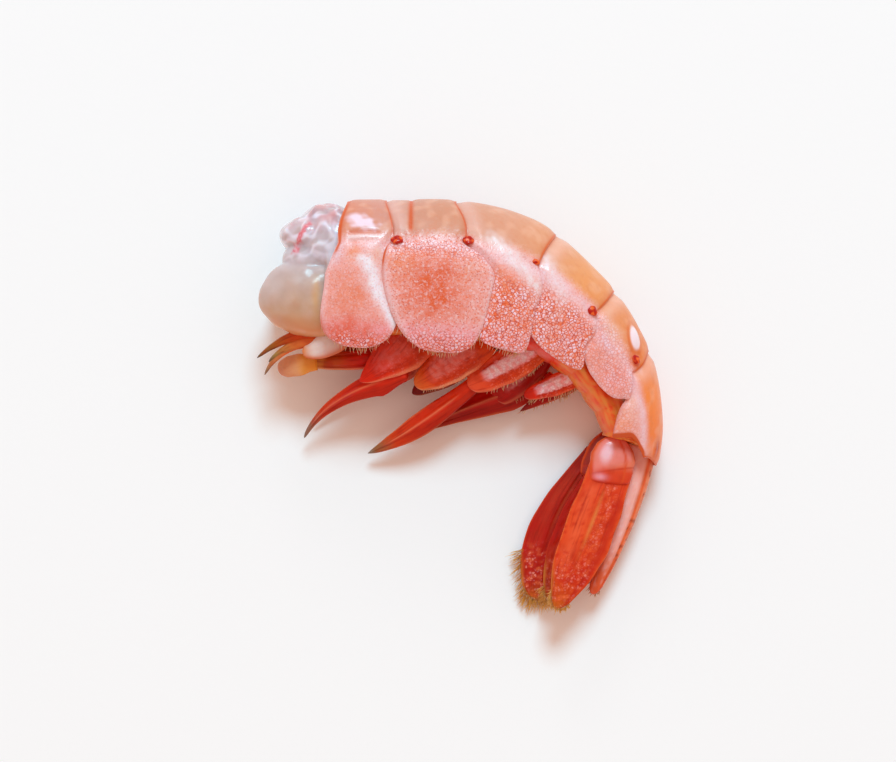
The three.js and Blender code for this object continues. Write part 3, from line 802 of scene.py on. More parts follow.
def shell_ring(index):
    """A ring's closed surface. Each column is a loop over the outer face, round the rear margin, back along
    the inner face and round the front margin. The shell thins out to its margins, and to nothing at the
    hems."""
    ring = RINGS[index]
    upper = np.linspace(0, ring["round"], UPPER_STEPS, endpoint=False)
    lower = mix(ring["round"], ring["hem"], np.sin(np.linspace(0, np.pi / 2, LOWER_STEPS)))
    side = np.concatenate([upper, lower])
    angle = np.concatenate([-side[:0:-1], side])[:, None]
    share = np.linspace(0, 1, ALONG_STEPS)
    share = share - np.sin(2 * np.pi * share) * 0.08
    turn = np.linspace(0, np.pi, EDGE_STEPS + 2)[1:-1]
    front = margin(ring, 0, angle)
    rear = margin(ring, 1, angle)
    at = mix(front, rear, share)
    plain = skin(at, angle, STEP, "flap")
    gap = outline_gap(ring, at, angle)
    thick = mix(THIN_EDGE, SHELL, ease(gap / THIN_REACH))
    thick = thick * np.sqrt(np.clip((ring["hem"] - np.abs(angle)) * DEGREE / 0.5, 0, 1))
    cover = level_of(index, at, angle)
    outer = cover - (SHELL - thick) * THINNED + ring_relief(index, at, angle, plain) * cover / STEP
    half_thick = thick / 2
    rear_at = rear + half_thick[:, -1:] * np.sin(turn)
    rear_level = outer[:, -1:] - half_thick[:, -1:] * (1 - np.cos(turn))
    front_at = front - half_thick[:, :1] * np.sin(turn)
    front_level = outer[:, :1] - half_thick[:, :1] * (1 + np.cos(turn))
    loop_at = np.concatenate([at, rear_at, at[:, ::-1], front_at], axis=1)
    loop_level = np.concatenate([outer, rear_level, (outer - thick)[:, ::-1], front_level], axis=1)
    loop_angle = np.broadcast_to(angle, loop_at.shape)
    points = skin(loop_at, loop_angle, loop_level, "flap")
    paint = ring_paint(index, loop_at, loop_angle, points)
    paint = {name: values.reshape(points.shape[0] * points.shape[1], -1) for name, values in paint.items()}
    faces = grid_faces(*loop_at.shape, wrap_columns=True)
    return mesh_of(f"ring_{index + 1}", points.reshape(-1, 3), faces, paint)


def wet_chitin(name):
    """Raw prawn shell: thin, slightly cloudy chitin under a film of water, which lets a little light in.
    Pale beads about 0.5 mm wide stand in it with pigment between them, and pits lie about 0.4 mm apart. The
    film shines where the shell is wettest."""
    material, tree = new_material(name)
    place = add_node(tree, "TexCoord").outputs["Object"]
    warp = add_node(tree, "TexNoise", {"Vector": place, "Scale": WARP_SCALE, "Detail": 2})
    inputs = {0: 0.0004, 4: place, 5: warp.outputs["Color"]}
    warped = add_node(tree, "Mix", inputs, data_type="VECTOR").outputs[1]
    inputs = {"Vector": warped, "Scale": BEAD_SCALE}
    edges = add_node(tree, "TexVoronoi", inputs, feature="DISTANCE_TO_EDGE")
    cells = add_node(tree, "TexVoronoi", inputs)
    pits = add_node(tree, "TexVoronoi", {"Vector": warped, "Scale": PIT_SCALE})
    cloud = add_node(tree, "TexNoise", {"Vector": place, "Scale": MOTTLE_SCALE, "Detail": 3})
    fleck = add_node(tree, "TexNoise", {"Vector": place, "Scale": FLECK_SCALE, "Detail": 3})
    bead = add_node(tree, "MapRange", {"Value": edges, "From Min": 0.06, "From Max": 0.2})
    some = add_node(tree, "MapRange", {"Value": cells.outputs["Color"], "From Min": 0.2, "From Max": 0.5})
    grown = add_node(tree, "MapRange", {"Value": cloud, "From Min": 0.42, "From Max": 0.58, "To Min": 0.35})
    inputs = {"Value": edges, "From Min": 0.16, "From Max": 0.04, "To Max": 0.95}
    between = add_node(tree, "MapRange", inputs)
    pit = add_node(tree, "MapRange", {"Value": pits, "From Min": 0.45, "From Max": 0.15, "To Max": 0.75})
    hazy = add_node(tree, "MapRange", {"Value": fleck, "From Min": 0.5, "From Max": 0.68, "To Max": 0.5})
    coarse = add_node(tree, "Attribute", attribute_name="coarse").outputs["Fac"]
    pitted = add_node(tree, "Attribute", attribute_name="pitted").outputs["Fac"]
    wet = add_node(tree, "Attribute", attribute_name="wet").outputs["Fac"]
    dim = add_node(tree, "MapRange", {"Value": fleck, "From Min": 0.44, "From Max": 0.58})
    pigment = {0: dim, 6: linear("#f26a34"), 7: linear("#cc4630")}
    pigment = add_node(tree, "Mix", pigment, data_type="RGBA").outputs[2]
    beads = add_node(tree, "Math", {0: bead, 1: some}, operation="MULTIPLY")
    beads = add_node(tree, "Math", {0: beads, 1: coarse}, operation="MULTIPLY")
    beads = add_node(tree, "Math", {0: beads, 1: grown}, operation="MULTIPLY")
    net = add_node(tree, "Math", {0: between, 1: coarse}, operation="MULTIPLY")
    holes = add_node(tree, "Math", {0: pit, 1: pitted}, operation="MULTIPLY")
    haze = add_node(tree, "Math", {0: hazy, 1: pitted}, operation="MULTIPLY")
    colour = add_node(tree, "Attribute", attribute_name="tint").outputs["Color"]
    for mask, code in ((haze, "#fcdcdc"), (beads, "#fdd8e6")):
        inputs = {0: mask, 6: colour, 7: linear(code)}
        colour = add_node(tree, "Mix", inputs, data_type="RGBA").outputs[2]
    for mask in (net, holes):
        colour = add_node(tree, "Mix", {0: mask, 6: colour, 7: pigment}, data_type="RGBA").outputs[2]
    relief = add_node(tree, "Math", {0: holes, 1: -0.7, 2: beads}, operation="MULTIPLY_ADD")
    relief = add_node(tree, "Math", {0: fleck, 1: 0.3, 2: relief}, operation="MULTIPLY_ADD")
    bump = add_node(tree, "Bump", {"Height": relief, "Strength": 0.6, "Distance": 0.00008})
    film = add_node(tree, "Bump", {"Height": cloud, "Strength": 0.25, "Distance": 0.0002, "Normal": bump})
    shader = add_node(tree, "BsdfPrincipled", {
        "Base Color": colour, "Roughness": 0.42, "IOR": 1.42, "Normal": bump,
        "Subsurface Weight": 0.12, "Subsurface Radius": (1.0, 0.45, 0.3), "Subsurface Scale": 0.0007,
        "Coat Weight": wet, "Coat Roughness": 0.14, "Coat IOR": 1.36, "Coat Normal": film,
    })
    add_node(tree, "OutputMaterial", {"Surface": shader})
    return material


chitin = wet_chitin("wet_chitin")
for index in range(len(RINGS)):
    add_piece(f"ring_{index + 1}", shell_ring(index), chitin, "shell", f"shell_{index + 1}")

# The hinge knobs.
# Where a ring turns on the next one, hard dark red knobs of thick chitin stand at both sides of the joint,
# in the notch of the margin. Each is a small uneven lump that is sunk in the shell.
KNOB_SIZE = np.array([0.95, 0.8, 0.34])
KNOB_GRID = (26, 18)
RED_BEAD_SCALE = 2000
RED_CLOUD_SCALE = 500


def red_chitin(name):
    """The thicker, deep red and orange chitin of the limbs and the tail fan, wet and clear. The pigment
    lies in streaks along a limb, about 0.3 mm wide, and pale beads about 0.5 mm wide stand in it where it
    is rough."""
    material, tree = new_material(name)
    place = add_node(tree, "TexCoord").outputs["Object"]
    lie = add_node(tree, "Attribute", attribute_name="lie").outputs["Vector"]
    along = add_node(tree, "Mapping", {"Vector": lie, "Scale": (0.2, 1.7, 1)})
    streak = add_node(tree, "TexNoise", {"Vector": along, "Scale": 1, "Detail": 3})
    inputs = {"Vector": place, "Scale": RED_BEAD_SCALE}
    edges = add_node(tree, "TexVoronoi", inputs, feature="DISTANCE_TO_EDGE")
    cells = add_node(tree, "TexVoronoi", inputs)
    cloud = add_node(tree, "TexNoise", {"Vector": place, "Scale": RED_CLOUD_SCALE, "Detail": 3})
    light = add_node(tree, "MapRange", {"Value": streak, "From Min": 0.52, "From Max": 0.7, "To Max": 0.35})
    dark = add_node(tree, "MapRange", {"Value": streak, "From Min": 0.47, "From Max": 0.3, "To Max": 0.55})
    bead = add_node(tree, "MapRange", {"Value": edges, "From Min": 0.06, "From Max": 0.24})
    some = add_node(tree, "MapRange", {"Value": cells.outputs["Color"], "From Min": 0.4, "From Max": 0.75})
    inputs = {"Value": edges, "From Min": 0.18, "From Max": 0.05, "To Max": 0.6}
    between = add_node(tree, "MapRange", inputs)
    fibrous = add_node(tree, "Attribute", attribute_name="fibrous").outputs["Fac"]
    coarse = add_node(tree, "Attribute", attribute_name="coarse").outputs["Fac"]
    wet = add_node(tree, "Attribute", attribute_name="wet").outputs["Fac"]
    tint = add_node(tree, "Attribute", attribute_name="tint").outputs["Color"]
    beads = add_node(tree, "Math", {0: bead, 1: some}, operation="MULTIPLY")
    beads = add_node(tree, "Math", {0: beads, 1: coarse}, operation="MULTIPLY")
    net = add_node(tree, "Math", {0: between, 1: coarse}, operation="MULTIPLY")
    light = add_node(tree, "Math", {0: light, 1: fibrous}, operation="MULTIPLY")
    dark = add_node(tree, "Math", {0: dark, 1: fibrous}, operation="MULTIPLY")
    shades = []
    for way, code in (("MULTIPLY", "#c0502c"), ("SCREEN", "#5c2c1c"), ("SCREEN", "#b47c7c")):
        inputs = {0: 1.0, 6: tint, 7: linear(code)}
        shades.append(add_node(tree, "Mix", inputs, data_type="RGBA", blend_type=way).outputs[2])
    deep, pale, lit = shades
    colour = tint
    for mask, shade in ((dark, deep), (light, pale), (net, linear("#b81e08")), (beads, lit)):
        inputs = {0: mask, 6: colour, 7: shade}
        colour = add_node(tree, "Mix", inputs, data_type="RGBA").outputs[2]
    relief = add_node(tree, "Math", {0: streak, 1: 0.6, 2: beads}, operation="MULTIPLY_ADD")
    relief = add_node(tree, "Math", {0: cloud, 1: 0.6, 2: relief}, operation="MULTIPLY_ADD")
    bump = add_node(tree, "Bump", {"Height": relief, "Strength": 0.6, "Distance": 0.00008})
    film = add_node(tree, "Bump", {"Height": cloud, "Strength": 0.3, "Distance": 0.00015, "Normal": bump})
    shader = add_node(tree, "BsdfPrincipled", {
        "Base Color": colour, "Roughness": 0.4, "IOR": 1.25, "Normal": bump,
        "Subsurface Weight": 0.1, "Subsurface Radius": (1.0, 0.3, 0.15), "Subsurface Scale": 0.0006,
        "Coat Weight": wet, "Coat Roughness": 0.1, "Coat IOR": 1.34, "Coat Normal": film,
    })
    add_node(tree, "OutputMaterial", {"Surface": shader})
    return material


def knob(place, angle, dark, seed):
    """Points, faces and paint of one knob: an uneven ellipsoid on the skin, turned to lie along it."""
    turn, rise = round_grid(*KNOB_GRID)
    ball = np.stack([np.sin(rise) * np.cos(turn), np.sin(rise) * np.sin(turn), np.cos(rise)], axis=-1)
    size = KNOB_SIZE * mix(0.55, 1, dark)
    lump = ball * size * (1 + 0.18 * ripples(ball, 1.3, seed)[..., None])
    foot = skin(place, angle, STEP + 0.05, "flap")
    out = skin(place, angle, STEP + 1, "flap") - foot
    out /= np.linalg.norm(out)
    along = skin(place + 0.5, angle, STEP + 0.05, "flap") - foot
    along -= out * (along @ out)
    along /= np.linalg.norm(along)
    points = foot + lump @ np.stack([along, np.cross(out, along), out])
    points[..., 2] = np.maximum(points[..., 2], 0)
    glow = ease((ripples(points, 0.8, seed + 40) + 1.2 - dark) / 1.3)[..., None]
    tint = mix(np.array(linear("#b81404")), np.array(linear("#f06428")), glow)
    count = turn.size
    paint = {
        "tint": tint.reshape(-1, 4),
        "lie": points.reshape(-1, 3),
        "coarse": np.zeros(count),
        "wet": np.full(count, 0.5),
        "fibrous": np.zeros(count),
    }
    return points.reshape(-1, 3), grid_faces(*KNOB_GRID, wrap_rows=True), paint


scarlet = red_chitin("red_chitin")
lumps = []
for number, (place, angle, dark) in enumerate(HINGES[:5]):
    lumps += [knob(place, angle, dark, 300 + number), knob(place, -angle, dark, 320 + number)]
add_piece("hinge_knobs", mesh_of("hinge_knobs", *joined(lumps)), scarlet, "shell")

# The swimming legs and the stub of a walking leg.
# Each swimming leg is a broad flattened stalk with thin pointed paddles, deep red and orange, and pale pink
# on the raised middle of the stalk. The left legs lie over the right ones, whose darker reds are painted
# shade. The stub in front is torn off short.
LEAF_STEPS = 76
LEAF_SIDES = 56
ROUNDED = 0.93
DEEP_RED = "#a81804"
LEGS = {
    "leg_left_1": [
        {
            "path": ((-9.5, 10.5, 8.6), (-14, 6.6, 9.4), (-26.3, 7.5, 10.4)), "width": 3.6, "thick": 2,
            "root": 0.9, "tip": 0.7, "blunt": 2, "form": "stalk", "fold": 0.5,
            "tints": ((0, "#dc1a04"), (0.6, "#d41804"), (0.88, "#b8500e"), (1, "#e09a3c")),
        },
        {
            "path": ((-24.8, 7.1, 10.5), (-28.7, 6.8, 9.2), (-32, 5.8, 7)), "width": 3.9, "thick": 1.4,
            "root": 0.7, "tip": 0.4, "widest": 0.5, "blunt": 3, "form": "lobe",
            "tints": ((0, "#e68c24"), (0.3, "#ea9c44"), (0.5, "#e49e6c"), (1, "#da9070")),
        },
    ],
    "leg_stub": [
        {
            "path": ((-17.7, 14.5, 12.4), (-21.5, 9.6, 13.8), (-27.4, 8.9, 12.4)), "width": 4.2,
            "thick": 1.5, "root": 0.9, "tip": 0.45, "widest": 0.5, "blunt": 2.2, "form": "lobe",
            "edge": 0.9,
            "tints": (
                (0, "#e0522c"), (0.35, "#e2a898"), (0.6, "#f2e4e4"), (0.8, "#ead2ca"), (1, "#dc8048"),
            ),
        },
        {
            "path": ((-20.6, 12.5, 12.9), (-29.3, 13.2, 13), (-35.5, 7.9, 9.8)), "width": 2.4,
            "thick": 1.2, "root": 0.9, "tip": 0.15, "widest": 0.3, "blunt": 1.2, "form": "finger",
            "tints": ((0, "#f04c08"), (0.5, "#d04a0a"), (0.8, "#985418"), (1, "#705030")),
        },
        {
            "path": ((-20.8, 11.7, 12.6), (-31, 11.6, 12.4), (-34.2, 4.9, 9.6)), "width": 2.2,
            "thick": 1.1, "root": 0.9, "tip": 0.15, "widest": 0.3, "blunt": 1.2, "form": "finger",
            "tints": ((0, "#f46224"), (0.6, "#e87034"), (0.85, "#b87e50"), (1, "#8c6a52")),
        },
        {
            "path": ((-22.3, 11, 12.8), (-30.2, 10.9, 12.5), (-33.4, 7.2, 10.4)), "width": 2,
            "thick": 1.1, "root": 0.9, "tip": 0.15, "widest": 0.3, "blunt": 1.2, "form": "finger",
            "tints": ((0, "#e4581a"), (0.5, "#d47030"), (0.85, "#9c7840"), (1, "#6c5c48")),
        },
    ],
    "leg_left_2": [
        {
            "path": ((-7.2, 13.5, 11), (-9.8, 8.9, 13.2), (-17.4, 3.8, 10.7)), "width": 9.6,
            "thick": 2.2, "root": 1, "tip": 0.12, "widest": 0.4, "blunt": 1.3, "form": "stalk",
            "panel": 0.06, "coarse": 0.25, "fold": 0.45,
            "tints": ((0, "#dc4c06"), (0.4, "#e23e06"), (0.75, "#e42c06"), (1, "#e42406")),
        },
        {
            "path": ((-8.8, 4.9, 11.3), (-23.8, 1.6, 8.4), (-27.6, -6.3, 3.2)), "width": 5,
            "thick": 1.5, "root": 0.4, "tip": 0.1, "widest": 0.2, "blunt": 0.6, "form": "paddle",
            "tints": (
                (0, "#e42c06"), (0.4, "#dc2606"), (0.7, "#cc3a12"), (0.86, "#9a6048"), (1, "#8a7a6c"),
            ),
        },
    ],
    "leg_left_3": [
        {
            "path": ((3.6, 11.9, 11.4), (-0.2, 7.2, 12.4), (-7.8, 3.1, 9.2)), "width": 8, "thick": 2,
            "root": 1, "tip": 0.3, "widest": 0.35, "blunt": 1.8, "form": "stalk", "panel": 0.14,
            "coarse": 0.3, "fold": 0.75,
            "tints": ((0, "#de4e0a"), (0.5, "#e44208"), (0.8, "#e84a14"), (1, "#e8702c")),
        },
    ],
    "leg_left_4": [
        {
            "path": ((15.3, 10.2, 10.6), (10, 7.2, 12), (1.6, 3, 9.8)), "width": 6, "thick": 2,
            "root": 0.7, "tip": 0.5, "widest": 0.5, "blunt": 2.6, "form": "stalk", "panel": 1.0,
            "coarse": 0.5, "inner": 0.46,
            "tints": ((0, "#ec6a0a"), (0.3, "#ee5410"), (0.7, "#ec4818"), (1, "#ec5430")),
        },
        {
            "path": ((3.4, 4, 9.2), (-7.4, -5.3, 6), (-16.3, -9.1, 2.6)), "width": 4.2, "thick": 1.5,
            "root": 0.7, "tip": 0.08, "widest": 0.45, "blunt": 1.5, "form": "paddle",
            "tints": (
                (0, "#e83408"), (0.45, "#dc2c06"), (0.75, "#d03a0c"), (0.9, "#94603a"), (1, "#8f8070"),
            ),
        },
    ],
    "leg_left_5": [
        {
            "path": ((22.4, 5.4, 8.4), (17.8, 3.3, 9.4), (11.5, 1.2, 7.6)), "width": 3.8, "thick": 1.8,
            "root": 0.8, "tip": 0.4, "widest": 0.4, "blunt": 2.2, "form": "stalk", "panel": 1.0,
            "coarse": 0.5, "inner": 0.62,
            "tints": ((0, "#ee5a10"), (0.5, "#f04816"), (0.85, "#e4280a"), (1, "#c01806")),
        },
    ],
    # The right legs lie under the left ones, and their darker reds are painted shade.
    "leg_right_1": [
        {
            "path": ((-15.4, 12.9, 6), (-19, 7.9, 5.6), (-24.4, 7.6, 4)), "width": 3.2, "thick": 1.8,
            "root": 0.9, "tip": 0.4, "blunt": 2, "form": "stalk",
            "tints": ((0, "#8f0f06"), (1, "#a83a10")),
        },
    ],
    "leg_right_2": [
        {
            "path": ((-7, 13.3, 6), (-9.8, 9, 6), (-14.6, 4.8, 4.6)), "width": 9.4, "thick": 2,
            "root": 0.9, "tip": 0.45, "widest": 0.5, "blunt": 2.4, "form": "stalk", "panel": 0.3,
            "tints": ((0, "#c02806"), (1, "#c41c06")),
        },
        {
            "path": ((-11.4, 5, 4.8), (-20.5, 1.6, 3.6), (-26, -3.8, 1.6)), "width": 2.8, "thick": 1.3,
            "root": 0.8, "tip": 0.1, "widest": 0.25, "blunt": 0.8, "form": "paddle",
            "tints": ((0, "#b81c0a"), (0.6, "#b02a10"), (0.85, "#8c5c44"), (1, "#8a7a6c")),
        },
    ],
    "leg_right_3": [
        {
            "path": ((3.8, 12, 5), (0.4, 6.8, 5.4), (-8.3, 1.6, 4.6)), "width": 7, "thick": 2,
            "root": 0.9, "tip": 0.2, "widest": 0.4, "blunt": 1.6, "form": "stalk",
            "tints": ((0, "#a80c04"), (0.6, "#a00c05"), (1, "#780e0c")),
        },
    ],
    "leg_right_4": [
        {
            "path": ((15.5, 10.3, 4.6), (11.3, 5.5, 5), (6, 1.2, 3.6)), "width": 7.4, "thick": 1.8,
            "root": 0.8, "tip": 0.6, "widest": 0.5, "blunt": 2.6, "form": "stalk", "panel": 0.2,
            "tints": ((0, "#b80e04"), (1, "#c01004")),
        },
        {
            "path": ((17.4, 4.2, 4.2), (5, 0.6, 3.2), (-9.6, -5.8, 1.8)), "width": 6, "thick": 1.3,
            "root": 0.5, "tip": 0.1, "widest": 0.35, "blunt": 1.1, "form": "paddle",
            "tints": (
                (0, "#e8260a"), (0.3, "#d01404"), (0.65, "#b00a02"), (0.85, "#a4300c"), (1, "#8a7060"),
            ),
        },
    ],
    "leg_right_5": [
        {
            "path": ((22.7, 5.1, 6), (18, 2.8, 6.6), (10.9, -1.5, 5.8)), "width": 3.6, "thick": 1.3,
            "root": 0.8, "tip": 0.1, "widest": 0.4, "blunt": 1.4, "form": "stalk",
            "tints": ((0, "#b40c04"), (0.8, "#b00c05"), (1, "#780e0a")),
        },
    ],
}
PLACES = [f"{side}_{row}" for side in ("left", "right") for row in range(1, 6)]
LEG_NAMES = {f"swimmeret_{place}": f"leg_{place}" for place in PLACES}
LEG_NAMES["walking_leg_stub"] = "leg_stub"


def limb_frame(path, share):
    """A quadratic curve through a root, towards a bend and to a tip: its points, and the ways to its side
    and up."""
    root, bend, tip = np.array(path, float)
    t = share[:, None]
    middle = (1 - t) ** 2 * root + 2 * t * (1 - t) * bend + t**2 * tip
    along = 2 * (1 - t) * (bend - root) + 2 * t * (tip - bend)
    along /= np.linalg.norm(along, axis=1, keepdims=True)
    side = np.stack([-along[:, 1], along[:, 0], 0 * along[:, 0]], axis=-1)
    side /= np.linalg.norm(side, axis=1, keepdims=True)
    return middle, along, side, np.cross(along, side)


def limb_width(leaf, share):
    """Half the width along a limb: from its root out to its widest place, then in to its tip."""
    widest = leaf.get("widest", 0.35)
    out = mix(leaf["root"], 1, ease(share / widest))
    beyond = np.clip((share - widest) / (1 - widest), 0, 1)
    back_in = 1 - (1 - leaf["tip"]) * beyond ** leaf["blunt"]
    return leaf["width"] / 2 * np.where(share < widest, out, back_in)


def rounded_off(share):
    """How wide a limb still is where its last part rounds off: a quarter of an ellipse."""
    return np.sqrt(np.clip(1 - ((share - ROUNDED) / (1 - ROUNDED)).clip(0, 1) ** 2, 0, 1))


def limb_form(form, share, across, upper):
    """How thick a limb is by where it is across, beside an ellipse. A stalk has a raised middle with a
    groove round it and a thin rim, a paddle has a sharp ridge with a groove beside it, and a blade has a
    groove down its middle between two ridges and a thin outer half."""
    a = np.abs(across)
    ends = ease((share - 0.1) / 0.12) * ease((0.92 - share) / 0.12)
    if form == "stalk":
        return 0.72 + upper * ends * (0.55 * ease((0.56 - a) / 0.16) - 0.3 * hill(a - 0.66, 0.08))
    if form == "paddle":
        return 0.7 + ends * (0.7 * hill(across + 0.12, 0.2) - 0.25 * hill(across - 0.34, 0.1) * upper)
    if form == "blade":
        ridges = 0.5 * hill(a - 0.14, 0.08) - 0.4 * hill(a, 0.05) + 0.22 * hill(across - 0.5, 0.1)
        return 0.85 + upper * ends * (ridges - 0.25 * hill(across + 0.62, 0.12))
    if form == "spike":
        return 0.9 + upper * ends * (0.25 * ease((0.5 - a) / 0.12) - 0.2 * hill(a - 0.6, 0.07))
    return 1 + 0 * across


def limb(leaf, seed):
    """One leaf of a limb: a lens-shaped section, given its form, carried along a curve. Its last part is
    rounded off, both ends close to a point, and the whole is slightly uneven. Gives its points, faces and
    paint."""
    share = np.sin(np.linspace(0, 1, LEAF_STEPS) * np.pi / 2)
    turn = np.linspace(0, 2 * np.pi, LEAF_SIDES, endpoint=False)[None, :]
    t = share[:, None]
    middle, along, side, up = limb_frame(leaf["path"], share)
    square = leaf.get("square", 1)
    across = np.sign(np.cos(turn)) * np.abs(np.cos(turn)) ** square
    height = np.sign(np.sin(turn)) * np.abs(np.sin(turn)) ** square
    end = rounded_off(t)
    heel = leaf.get("heel", 0.02)
    start = np.sqrt(np.clip(1 - (1 - t / heel).clip(0, 1) ** 2, 0, 1))
    rims = np.stack([t * 9 + 0 * turn, np.sign(across) + 0 * t, 0 * t * turn], axis=-1)
    wave = 1 + 0.035 * ripples(rims, 2.2, seed)
    reach = limb_width(leaf, share)[:, None] * wave * end * start
    form = limb_form(leaf["form"], t, across, height > 0)
    depth = leaf["thick"] / 2 * mix(1, 0.5, t) * form * end * start
    points = middle[:, None] + side[:, None] * (reach * across)[..., None]
    points = points + up[:, None] * (depth * height)[..., None]
    bumps = 0.05 * ripples(points, 2.6, seed + 1) + 0.025 * ripples(points, 1.0, seed + 2)
    points += up[:, None] * (bumps * end * start)[..., None]
    points[0] = points[0].mean(axis=0)
    points[-1] = points[-1].mean(axis=0)
    points[..., 2] = np.maximum(points[..., 2], 0.04)
    faces = grid_faces(*points.shape[:2], wrap_columns=True)
    return points.reshape(-1, 3), faces, limb_paint(leaf, t, across, height, points, seed)


def limb_paint(leaf, t, across, height, points, seed):
    """A limb's colours along it, the pink of a stalk's raised middle, the lighter rims and ridges, partly
    painted highlights, the bulb's painted highlight, and its beads."""
    shape = points.shape[:2]
    a = np.abs(across) + 0 * t
    upper = ease(height * 3) + 0 * t
    patchy = ripples(points, 1.2, seed + 5)
    wander = ripples(points, 2.8, seed + 6)
    ends = ease((t - 0.12) / 0.12) * ease((0.86 - t) / 0.14)
    ground = blend(np.clip(t + 0.03 * wander, 0, 1), leaf["tints"])
    form = leaf["form"]
    layers = [(0.25 * ease(-wander), DEEP_RED)] if form != "lobe" else []
    coarse = 0 * a
    wet = 0.35 + 0 * a
    fibrous = 0.15 + 0 * a if form in ("lobe", "bulb") else 1 + 0 * a
    if form == "stalk":
        inside = leaf.get("inner", 0.6) - np.abs(across + 0.12) - 0.09 * patchy
        panel = leaf.get("panel", 0) * upper * ends * ease(inside / 0.14)
        layers += [
            (0.4 * hill(inside + 0.06, 0.1) * upper * ends, DEEP_RED),
            (0.95 * panel, "#ffb4bc"),
            (0.9 * panel * ease(patchy + 0.6), "#ffe8f2"),
            # The pale rim along the stalk's lower edge is partly the rim's own colour and partly a painted
            # highlight.
            (leaf.get("fold", 0.25) * hill(across - 0.92, 0.1) * ease((t - 0.2) / 0.3), "#f4b488"),
        ]
        rough = leaf.get("coarse", 0) * upper * ends
        coarse = rough * mix(0.4, 1, ease(across / 0.5)) + 0.15 * panel
        wet = 0.3 + 0.7 * panel
        fibrous = 1 - 0.9 * panel
    if form == "lobe":
        layers.append((leaf.get("edge", 0) * hill(across - 1, 0.4), "#d8641e"))
    if form == "paddle":
        layers += [
            (0.65 * ease((across - 0.12) / 0.3) * ease((0.8 - t) / 0.3), DEEP_RED),
            # The lighter streak along the ridge is a painted highlight.
            (0.6 * hill(across + 0.1, 0.09) * ends, "#ef8a62"),
            (0.5 * hill(a - 0.97, 0.08) * ease((t - 0.2) / 0.3), "#e08a58"),
        ]
    if form == "blade":
        layers += [
            (0.8 * leaf["band"] * hill(across - 0.72, 0.18) * ease((t - 0.1) / 0.2), "#c01c06"),
            (0.6 * leaf["band"] * hill(across + 0.5, 0.25) * ends, "#ee6238"),
            (leaf["rib"] * hill(across + 0.02, 0.05) * ends * hill(t - 0.4, 0.18), "#f09c4c"),
            (leaf["rim"] * hill(a - 1, 0.05), "#e86a2c"),
            (0.7 * hill(across + 1, 0.16) * ease((t - 0.7) / 0.15), "#cc8030"),
        ]
        near_tip = ease((t - 0.6) / 0.2) * ease((0.95 - a) / 0.2)
        beside_rib = leaf["band"] * hill(across - 0.34, 0.24) * ease((t - 0.04) / 0.1)
        coarse = leaf["coarse"] * upper * np.clip(near_tip + beside_rib, 0, 1) * (0.7 + 0.4 * patchy)
        layers += [
            (0.8 * np.clip(coarse, 0, 1) * ease(1.5 * patchy), "#fa7444"),
            (0.8 * np.clip(coarse, 0, 1) * ease(-1.5 * patchy), "#b81604"),
            (0.6 * leaf["band"] * ease(-patchy - 0.2) * ends, "#c81e04"),
            (0.8 * ease((t - 0.93) / 0.07), "#cf6c14"),
        ]
        fibrous = 0.95 + 0 * a
    if form == "spike":
        top = upper * ease((0.62 - a) / 0.14)
        dots = ease((ripples(points, 1.5, seed + 9) - 0.75) / 0.3)
        layers += [
            (0.95 * top * ease((0.9 - t) / 0.3), "#fcb6aa"),
            (0.5 * top * ease(patchy), "#ffd0cc"),
            (0.9 * hill(a - 0.7, 0.09) * upper, "#ee5a20"),
            (0.75 * (1 - upper), "#cf5c28"),
            (0.7 * dots * (a > 0.6), "#8c2208"),
            (0.5 * ease((t - 0.75) / 0.2), "#e2552a"),
        ]
        wet = 0.35 + 0.3 * top
        fibrous = 1 - 0.8 * top
    if form == "bulb":
        pale = leaf["pale"] * upper
        dome = ease((0.9 - a) / 0.15) * ease((0.76 - t - 0.2 * across) / 0.2)
        # A painted highlight: the pale pink oval on the bulb's upper left.
        painted_gloss = ease((1 - np.hypot((t - 0.42) / 0.3, (across + 0.35) / 0.4)) / 0.7)
        suture = hill(t - 0.74 + 0.12 * across, 0.02)
        low_spot = hill(np.hypot((t - 0.88) / 0.06, (across + 0.5) / 0.3), 1)
        arc = hill(np.hypot(across, 0.9 * (t - 0.8)) - 0.62, 0.06) * ease(across * 4)
        layers += [
            (0.9 * pale * dome, "#ec8276"),
            (pale * painted_gloss, "#f4bcc4"),
            (0.6 * upper * suture, "#c42c0a"),
            (0.8 * pale * low_spot, "#f2a4b0"),
            (0.9 * upper * arc, "#dd4a1c"),
            (0.8 * hill(across + 0.94, 0.07), "#e2501c"),
        ]
        wet = 0.5 + 0.5 * upper * hill(np.hypot((t - 0.36) / 0.3, (across + 0.1) / 0.6), 1)
    count = shape[0] * shape[1]
    lie = np.stack([t * 20 + 0 * a, a * np.sign(across) * leaf["width"] / 2, seed + 0 * a], axis=-1)
    return {
        "tint": painted(ground + 0 * a[..., None], layers).reshape(count, 4),
        "lie": lie.reshape(count, 3),
        "coarse": np.clip(coarse, 0, 1).reshape(count),
        "wet": np.clip(wet, 0, 1).reshape(count),
        "fibrous": fibrous.reshape(count),
    }


for number, (name, node) in enumerate(LEG_NAMES.items()):
    leaves = [limb(leaf, 400 + 20 * number + 7 * place) for place, leaf in enumerate(LEGS[node])]
    add_piece(name, mesh_of(name, *joined(leaves)), scarlet, "legs", node)

